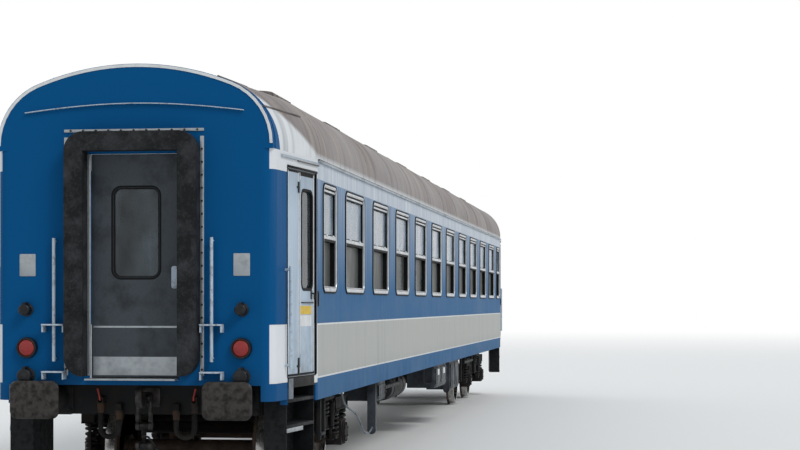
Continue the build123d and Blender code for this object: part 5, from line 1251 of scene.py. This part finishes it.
class CoachBogies(bpy.types.Operator):
    """Builds the bogies' coil springs, dampers, flanges, axle-box bolts and wheel rims"""

    bl_idname = "coach.bogies"
    bl_label = "Bogies"

    def coil(self, radius, wire, low, top, turns):
        """A coil spring with flattened seats, standing between two heights."""
        form = Form()
        mean = radius - wire / 2
        count = int(turns * 14)
        path = []
        for k in range(count + 1):
            share = k / count
            eased = min(max((share - 0.08) / 0.84, 0.0), 1.0)
            path.append((mean * cos(2 * pi * turns * share), mean * sin(2 * pi * turns * share),
                         up(low) + wire / 2 + (top - low - wire) * eased))
        form.tube(path, wire / 2, 8)
        for z, way in ((low, 1), (top, -1)):
            form.lathe((0, 0, up(z)), (0, 0, way), [(0.0, radius), (0.010, radius), (0.016, radius * 0.6),
                                                   (0.045, radius * 0.5), (0.050, radius * 0.4)], 24)
        return form

    def execute(self, context):
        s = context.scene.coach_sizes
        axle_coil = self.coil(0.080, s.axle_spring, 0.440, 0.720, 5.5)
        bolster_coil = self.coil(0.105, s.bolster_spring, 0.700, 0.880, 3.5)
        top = [(1.650, 0.870), (0.820, 0.870), (0.480, 0.700), (-0.480, 0.700), (-0.820, 0.870),
               (-1.650, 0.870)]
        low = [(1.650, 0.720), (0.900, 0.720), (0.560, 0.545), (-0.560, 0.545), (-0.900, 0.720),
               (-1.650, 0.720)]
        for end, ex in ENDS:
            body = f"bogie_{end}"
            middle = ex * BOGIE_X
            axles = [middle + way * AXLE_OFFSET for way in (-1, 1)]
            spots = [(axle + way * 0.245, sy * BOX_Y, 0) for axle in axles for way in (-1, 1)
                     for sy in (-1, 1)]
            repeat(axle_coil, f"axle_springs_{end}", spots, "spring", body,
                   replaces=(f"springs_{end}",), angle=50)
            spots = [(middle + way * 0.230, sy * BOX_Y, 0) for way in (-1, 1) for sy in (-1, 1)]
            repeat(bolster_coil, f"bolster_springs_{end}", spots, "spring", body,
                   angle=50)
            flanges, dampers, boxes, straps = Form(), Form(), Form(), Form()
            bolts = []
            for sy in (-1, 1):
                for path, shift in ((top, -0.007), (low, 0.007)):
                    flanges.bar([(middle + x, z + shift) for x, z in path], sy * (BOX_Y - 0.075),
                                sy * (BOX_Y + 0.075), 0.014)
                for x in (-1.640, -0.86, -0.50, 0.50, 0.86, 1.640):
                    low_z = 0.560 if abs(x) < 0.6 else 0.727
                    high_z = 0.695 if abs(x) < 0.6 else 0.863
                    flanges.slab(middle + x - 0.006, middle + x + 0.006, low_z, high_z,
                                 sy * (BOX_Y + 0.058), sy * (BOX_Y + 0.074))
                for way in (-1, 1):
                    foot = (middle + way * 0.445, sy * 1.092, up(0.585))
                    dampers.lathe(foot, (0, 0, 1), [(-0.022, 0.016), (0.0, 0.030), (0.130, 0.030),
                                                    (0.134, 0.036), (0.245, 0.036), (0.255, 0.014),
                                                    (0.300, 0.014)], 20)
                    dampers.slab(middle + way * 0.445 - 0.030, middle + way * 0.445 + 0.030, 0.548, 0.566,
                                 sy * 1.050, sy * 1.118)
                    dampers.slab(middle + way * 0.330, middle + way * 0.475, 0.885, 0.905,
                                 sy * 1.050, sy * 1.118)
                for axle in axles:
                    centre = (axle, sy * 1.090, up(AXLE_Z))
                    boxes.lathe(centre, (0, sy, 0), [(0.0, 0.128), (0.014, 0.128), (0.018, 0.110),
                                                     (0.032, 0.108), (0.035, 0.060), (0.034, 0.0)], 40)
                    bolts += [(axle + 0.092 * cos(a), sy * 1.124, up(AXLE_Z) + 0.092 * sin(a))
                              for a in (pi / 6 + k * pi / 3 for k in range(6))]
                    boxes.slab(axle - 0.165, axle + 0.165, 0.585, 0.606, sy * 0.915, sy * 1.085)
                    for way in (-1, 1):
                        boxes.rings([[(axle + way * x, sy * y, up(z)) for x, z in (
                            (0.148, 0.440), (0.300, 0.440), (0.148, 0.560))]
                                     for y in (1.028, 1.042)])
                        straps.slab(axle + way * 0.345 - 0.012, axle + way * 0.345 + 0.012, 0.395, 0.730,
                                    sy * 0.985, sy * 1.015)
                        straps.slab(axle + way * 0.345 - 0.030, axle + way * 0.345 + 0.030, 0.385, 0.405,
                                    sy * 0.965, sy * 1.035)
            piece(flanges, f"frame_flanges_{end}", "bogie", body, 0.002)
            piece(dampers, f"bogie_dampers_{end}", "dark_box", body, 0.002)
            piece(boxes, f"axle_box_covers_{end}", "bogie", body, 0.002)
            piece(straps, f"axle_box_stays_{end}", "bogie", body, 0.002)
            repeat(bolt((0, 1, 0), 0.012, 0.010), f"axle_box_bolts_{end}", bolts, "steel", body)
            for number, axle in zip((1, 2), axles):
                wheels = Form()
                for sy in (-1, 1):
                    wheels.lathe((axle, sy * 0.712, up(AXLE_Z)), (0, sy, 0), [
                        (0.004, 0.4606), (0.098, 0.4566), (0.1036, 0.452), (0.1036, 0.398), (0.090, 0.394),
                        (0.004, 0.394)], 72)
                piece(wheels, f"wheel_treads_{end}_{number}", "tread", f"wheelset_{end}_{number}")
        return {"FINISHED"}


class CoachUnderfloor(bpy.types.Operator):
    """Builds the boxes' doors and louvres, the pipes, cables and posts below the floor"""

    bl_idname = "coach.underfloor"
    bl_label = "Below the floor"

    def execute(self, context):
        doors, fittings, pipes, cables, posts, whites, bands = (Form() for _ in range(7))
        louvres = []
        # Each box: its ends along X, side, lower edge and count of doors
        table = ((-6.430, -5.820, -1, 0.760, 1), (-0.600, 0.900, -1, 0.650, 2),
                 (1.500, 2.800, -1, 0.530, 2), (-5.200, -3.300, 1, 0.560, 3), (-1.400, 0.700, 1, 0.620, 3))
        for start, stop, sy, low, count in table:
            face = HALF_WIDTH - WALL - 0.0003
            for form in (doors, fittings):
                form.place = lambda u, z, d: (u, sy * (face - d), up(z))
            width = (stop - start) / count
            middle, tall = (low + BOX_TOP) / 2, BOX_TOP - low
            for i in range(count):
                left = start + i * width
                doors.plate(left + width / 2, middle, width - 0.050, tall - 0.050, 0.020, [
                    (0.0, 0.003), (0.0, -0.010), (0.004, -0.014)], 4)
                doors.surround(left + width / 2, middle, width - 0.110, tall - 0.110, 0.020, [
                    (0.0, -0.012), (0.004, -0.018), (0.012, -0.018), (0.016, -0.012)], 4)
                for z in (low + 0.09, 0.905):
                    fittings.slab(left + 0.022, left + 0.046, z - 0.030, z + 0.030, -0.020, 0.0)
                    fittings.slab(left + width - 0.075, left + width - 0.035, z - 0.012, z + 0.012,
                                  -0.026, 0.0)
                rows = int((0.90 - low) / 0.035) - 3
                louvres += [(left + width / 2, sy * (face + 0.013), up(low + 0.13 + k * 0.035))
                            for k in range(max(rows, 0)) if i != 1]
        piece(doors, "box_doors", "box")
        piece(fittings, "box_hinges", "black", bevel=0.002)
        slat = Form(about_origin)
        slat.rings([[(x, -0.007, -0.006), (x, 0.007, -0.006), (x, 0.004, 0.004), (x, -0.004, 0.004)]
                    for x in (-0.150, 0.150)])
        repeat(slat, "box_louvres", louvres, "box")
        for sy in (-1, 1):
            y = sy * (HALF_WIDTH - WALL - 0.110)
            for k, (z, radius) in enumerate(((1.050, 0.022), (1.110, 0.015), (1.150, 0.012))):
                pipes.tube([(x, y - sy * 0.012 * k, up(z)) for x in (-10.6, -5.0, 0.0, 5.0, 10.6)],
                           radius, 10)
            # Bent pipes run from the long ones into the ends of the boxes
            for x, way in ((0.900, 1), (1.500, -1)) if sy < 0 else ((0.700, 1), (-3.300, 1)):
                pipes.tube(arc_path([(x, sy * 1.200, up(0.860)), (x + way * 0.18, sy * 1.220, up(0.850)),
                                     (x + way * 0.26, sy * 1.240, up(0.960)),
                                     (x + way * 0.27, sy * 1.240, up(1.060))]), 0.022, 12)
        piece(pipes, "pipe_runs", "dark_box")
        # A pale cable hangs past each bogie to the plate beside the first box
        for way in (-1, 1):
            cables.tube(arc_path([(way * x, way * 1.300, up(z)) for x, z in (
                (8.750, 1.010), (8.550, 0.820), (7.670, 0.690), (7.200, 0.440), (6.850, 0.400),
                (6.540, 0.460))]), 0.011, 10)
            cables.slab(way * 8.720, way * 8.780, 1.000, 1.040, way * 1.262, way * 1.320)
        piece(cables, "hanging_cables", "bracket")
        for x in (-9.95, -9.72, 3.80):
            posts.slab(x - 0.022, x + 0.022, 0.560, 1.080, -1.300, -1.262)
            posts.slab(x - 0.022, x + 0.022, 1.000, 1.200, -1.340, -1.262)
        posts.slab(-9.97, -9.70, 0.600, 0.630, -1.305, -1.258)
        piece(posts, "underfloor_posts", "frame", bevel=0.002)
        whites.place = lambda u, z, d: (u, -(HALF_WIDTH - WALL - d), up(z))
        for x in (-0.225, 0.525):
            whites.plate(x, 0.880, 0.200, 0.090, 0.012, [(0.0, 0.004), (0.0, -0.020),
                                                         (0.003, -0.023)], 4)
        piece(whites, "box_plates", "white")
        for middle, y, length_x, radius, z in ((-3.250, -1.000, 1.400, 0.170, 0.800),
                                               (3.400, -1.000, 0.900, 0.150, 0.830),
                                               (2.900, 0.950, 1.800, 0.200, 0.780)):
            for way in (-1, 1):
                bands.lathe((middle + way * length_x * 0.3, y, up(z)), (1, 0, 0), [
                    (-0.032, radius - 0.002), (-0.030, radius + 0.006), (0.030, radius + 0.006),
                    (0.032, radius - 0.002)], 40)
                bands.lathe((middle + way * length_x / 2, y, up(z)), (way, 0, 0), [
                    (-0.02, radius - 0.001), (0.0, radius - 0.004), (0.030, radius * 0.82),
                    (0.046, radius * 0.5), (0.050, 0.0)], 40)
                bands.lathe((middle + way * (length_x / 2 + 0.045), y, up(z)), (way, 0, 0), [
                    (0.0, 0.022), (0.030, 0.022), (0.034, 0.016)], 16)
        piece(bands, "reservoir_bands", "dark_box")
        bolster = Form()
        for _, ex in ENDS:
            for x in (8.25, 8.95):
                for sy in (-1, 1):
                    bolster.rings([[(ex * (x + t), sy * y, up(z)) for y, z in (
                        (1.262, 1.000), (1.262, 1.190), (1.000, 1.190))] for t in (-0.008, 0.008)])
        for x in [WINDOW_MIDDLES[i] + WINDOW_PITCH / 2 for i in range(WINDOW_COUNT - 1)]:
            for sy in (-1, 1):
                bolster.rings([[(x + t, sy * y, up(z)) for y, z in (
                    (1.262, 1.005), (1.262, 1.080), (1.060, 1.080))] for t in (-0.008, 0.008)])
        piece(bolster, "underframe_gussets", "frame")
        treads, nosing = Form(), Form()
        for _, _, ex, sy in CORNERS:
            treads.place = nosing.place = door_place(ex, sy)
            nosing.slab(0.022, 0.500, 0.745, 0.784, 0.006, 0.030)
            for z in (0.500, 0.795, 1.030):
                treads.slab(0.020, DOOR_OPENING - 0.020, z - 0.014, z + 0.016, 0.010, 0.032)
                treads.slab(0.030, DOOR_OPENING - 0.030, z + 0.012, z + 0.018, 0.032, 0.200)
        piece(treads, "step_treads", "grating", bevel=0.002)
        piece(nosing, "step_nosings", "dull_aluminium", bevel=0.002)
        return {"FINISHED"}


class CoachInside(bpy.types.Operator):
    """Builds the seat cushions, their shells, the rack brackets and the ceiling lamps"""

    bl_idname = "coach.inside"
    bl_label = "Inside"

    def cushion(self, width, depth, thick, channels):
        """A crowned cushion with pulled-in sides and sewn channels, its flat side down."""
        steps = 12
        row = steps + 1
        points = []
        for i in range(row):
            for j in range(row):
                u, v = 2 * i / steps - 1, 2 * j / steps - 1
                crown = max(0.0, (1 - u**6) * (1 - v**6)) ** 0.4
                seam = sum(exp(-((u - c) * 14) ** 2) for c in channels)
                waist = 1 - 0.02 * (1 - v**2) * abs(u)
                points.append((u * width / 2 * waist, v * depth / 2,
                               thick * crown * (1 - 0.07 * seam) + thick * 0.02))
        faces = []
        for i in range(steps):
            for j in range(steps):
                a = i * row + j
                faces.append((a, a + 1, a + row + 1, a + row))
        # The rim's points, once round, and the same points on the flat side
        rim = list(range(row)) + [i * row + steps for i in range(1, row)]
        rim += [steps * row + j for j in reversed(range(steps))]
        rim += [i * row for i in reversed(range(1, steps))]
        base = len(points)
        for k in rim:
            i, j = divmod(k, row)
            points.append((2 * i / steps * width / 2 - width / 2, 2 * j / steps * depth / 2 - depth / 2,
                           0.0))
        for k in range(len(rim)):
            m = (k + 1) % len(rim)
            faces.append((rim[k], rim[m], base + m, base + k))
        faces.append(tuple(base + k for k in range(len(rim))))
        form = Form()
        form.add(points, faces)
        return form

    def place_pads(self):
        """A seat pad and a back pad about the foot of a seat back, as one mesh."""
        work = bmesh.new()
        for name, depth, thick, place in (
                ("seat_pad", 0.428, 0.086, lambda u, v, h: (0.340 + v, u, 0.352 + h)),
                ("back_pad", 0.688, 0.064, lambda u, v, h: (0.060 - (v + 0.34) * 0.075 + h * 0.62, u,
                                                            0.800 + v))):
            mesh = stuffed(self.cushion(0.438, depth, thick, (-0.5, 0.0, 0.5)), name, 0.008, 700)
            for vertex in mesh.vertices:
                vertex.co = place(vertex.co.x, vertex.co.y, max(vertex.co.z, 0.0))
            work.from_mesh(mesh)
        bmesh.ops.recalc_face_normals(work, faces=work.faces)
        pads = bpy.data.meshes.new("seat_and_back_pads")
        work.to_mesh(pads)
        work.free()
        return pads

    def execute(self, context):
        inner, floor = HALF_WIDTH - WALL, FLOOR_TOP
        shells, legs = Form(), Form()
        seats = {-1: [], 1: []}
        for i in range(WINDOW_COUNT + 1):
            row = (i - WINDOW_COUNT / 2) * WINDOW_PITCH
            # The first and the last row face one way only
            ways = {0: (1,), WINDOW_COUNT: (-1,)}.get(i, (-1, 1))
            for sy in (-1, 1):
                for way in ways:
                    seats[way] += [(row, sy * (inner - 0.265 - seat * 0.470), up(floor)) for seat in (0, 1)]
                    shells.slab(row + way * 0.110, row + way * 0.572, floor + 0.320, floor + 0.356,
                                sy * (inner - 0.010), sy * (inner - 0.985))
                    for y in (0.045, 0.500, 0.955):
                        shells.slab(row + way * 0.150, row + way * 0.520, floor + 0.560, floor + 0.595,
                                    sy * (inner - y - 0.020), sy * (inner - y + 0.020))
                    legs.slab(row + way * 0.100, row + way * 0.480, floor + 0.010, floor + 0.325,
                              sy * (inner - 0.820), sy * (inner - 0.860))
                low, high = (0.100, 0.050)
                shells.rings([[(row + a, sy * (inner - y), up(floor + z)) for a, z in (
                    (-low * (-1 in ways), 0.340), (low * (1 in ways), 0.340), (high * (1 in ways), 1.172),
                    (-high * (-1 in ways), 1.172))] for y in (0.012, 0.986)])
        pads = self.place_pads()
        for name, way, turn in (("seat_cushions_forward", 1, 0.0), ("seat_cushions_backward", -1, pi)):
            cushions = repeat(pads.copy(), name, seats[way], "cloth",
                              replaces=("seats",), angle=60, turn=(0.0, 0.0, turn))
        piece(shells, "seat_shells", "seat_frame", bevel=0.004)
        piece(legs, "seat_legs", "rail", bevel=0.003)
        bracket = Form(about_origin)
        bracket.slab(-0.010, 0.010, -0.060, -0.001, -0.180, 0.180)
        spots = [(x, sy * (inner - 0.190), up(3.115)) for x in WINDOW_MIDDLES for sy in (-1, 1)]
        repeat(bracket, "rack_brackets", spots, "rack", bevel=0.004)
        lamp = Form(about_origin)
        lamp.slab(-0.640, 0.640, -0.050, 0.0, -0.090, 0.090)
        repeat(lamp, "ceiling_lamps", [(x, 0, up(3.972)) for x in WINDOW_MIDDLES], "diffuser",
               bevel=0.016)
        return {"FINISHED"}


class CoachStage(bpy.types.Operator):
    """Sets the floor, the soft daylight and the camera at the photograph's angle"""

    bl_idname = "coach.stage"
    bl_label = "Stage"

    def seen(self, tree):
        """One for rays that reach the eye directly, by reflection or through glass, else nought."""
        path = add_node(tree, "ShaderNodeLightPath").outputs
        direct = maths(tree, "MAXIMUM", path["Is Camera Ray"], path["Is Glossy Ray"])
        return maths(tree, "MAXIMUM", direct, path["Is Transmission Ray"])

    def execute(self, context):
        scene = context.scene
        ground = bpy.data.meshes.new("floor_sheet")
        reach = 300.0
        ground.from_pydata([(-reach, -reach, 0), (reach, -reach, 0), (reach, reach, 0), (-reach, reach, 0)],
                           [], [(0, 1, 2, 3)])
        sheet = bpy.data.objects.new("studio_floor", ground)
        scene.collection.objects.link(sheet)
        material, tree, shader, place = blank("studio floor, pale matt paint")
        shader.inputs["Base Color"].default_value = (*linear("#EDEDEB"), 1.0)
        shader.inputs["Roughness"].default_value = 0.85
        away = add_node(tree, "ShaderNodeVectorMath", {0: place.outputs["Object"]}, operation="LENGTH")
        fade = add_node(tree, "ShaderNodeMapRange", {"Value": away.outputs["Value"], "From Min": 30.0,
                                                     "From Max": 110.0}, interpolation_type="SMOOTHSTEP")
        share = maths(tree, "MULTIPLY", self.seen(tree), fade.outputs[0])
        glow = add_node(tree, "ShaderNodeEmission", {"Color": (1, 1, 1, 1), "Strength": 1.0})
        blend = add_node(tree, "ShaderNodeMixShader", {0: share, 1: shader.outputs[0],
                                                       2: glow.outputs[0]})
        tree.links.new(blend.outputs[0], tree.nodes["Material Output"].inputs["Surface"])
        ground.materials.append(material)

        world = bpy.data.worlds.new("soft daylight")
        world.use_nodes = True
        scene.world = world
        tree = world.node_tree
        daylight = tree.nodes["Background"]
        daylight.inputs["Color"].default_value = (*linear("#E8EEF5"), 1.0)
        daylight.inputs["Strength"].default_value = 0.62
        seen_white = add_node(tree, "ShaderNodeBackground", {"Color": (1, 1, 1, 1), "Strength": 1.0})
        blend = add_node(tree, "ShaderNodeMixShader", {0: self.seen(tree), 1: daylight.outputs[0],
                                                       2: seen_white.outputs[0]})
        tree.links.new(blend.outputs[0], tree.nodes["World Output"].inputs["Surface"])

        for name, strength, angle, aim in (("high_sun", 1.25, 22, (0.42, 0.60, -0.68)),
                                           ("far_fill", 0.40, 40, (-0.55, -0.60, -0.58))):
            lamp = bpy.data.lights.new(name, "SUN")
            lamp.energy = strength
            lamp.angle = radians(angle)
            holder = bpy.data.objects.new(name, lamp)
            holder.rotation_euler = Vector(aim).to_track_quat("-Z", "Y").to_euler()
            scene.collection.objects.link(holder)

        camera = bpy.data.cameras.new("photo_camera")
        camera.sensor_width = 36.0
        camera.lens = 82.42
        camera.shift_y = 0.099
        camera.clip_end = 600.0
        holder = bpy.data.objects.new("photo_camera", camera)
        holder.location = (-27.92, -4.5475, up(1.910))
        holder.rotation_euler = (radians(90), 0, radians(-90 + 7.77))
        scene.collection.objects.link(holder)
        scene.camera = holder
        scene.view_settings.view_transform = "Standard"
        return {"FINISHED"}


class CoachPanel(bpy.types.Panel):
    """Lists the coach's operators, sizes and colours"""

    bl_idname = "COACH_PT_panel"
    bl_label = "Passenger coach"
    bl_space_type = "VIEW_3D"
    bl_region_type = "UI"
    bl_category = "Coach"

    def draw(self, context):
        for step in STEPS:
            self.layout.operator(step.bl_idname)
        for group in (context.scene.coach_sizes, context.scene.coach_colours):
            for key in group.__annotations__:
                self.layout.prop(group, key)


STEPS = (CoachStage, CoachFinishes, CoachWindows, CoachDoors, CoachRoof, CoachEnds, CoachBuffers,
         CoachBogies, CoachUnderfloor, CoachInside)
CLASSES = (CoachSizes, CoachColours, *STEPS, CoachPanel)


def register():
    for item in CLASSES:
        bpy.utils.register_class(item)
    bpy.types.Scene.coach_sizes = bpy.props.PointerProperty(type=CoachSizes)
    bpy.types.Scene.coach_colours = bpy.props.PointerProperty(type=CoachColours)


def unregister():
    del bpy.types.Scene.coach_sizes
    del bpy.types.Scene.coach_colours
    for item in reversed(CLASSES):
        bpy.utils.unregister_class(item)


def main():
    register()
    bpy.ops.coach.stage()
    bpy.ops.coach.finishes()
    bpy.ops.coach.windows()
    bpy.ops.coach.doors()
    bpy.ops.coach.roof()
    bpy.ops.coach.ends()
    bpy.ops.coach.buffers()
    bpy.ops.coach.bogies()
    bpy.ops.coach.underfloor()
    bpy.ops.coach.inside()


if __name__ == "__main__":
    main()
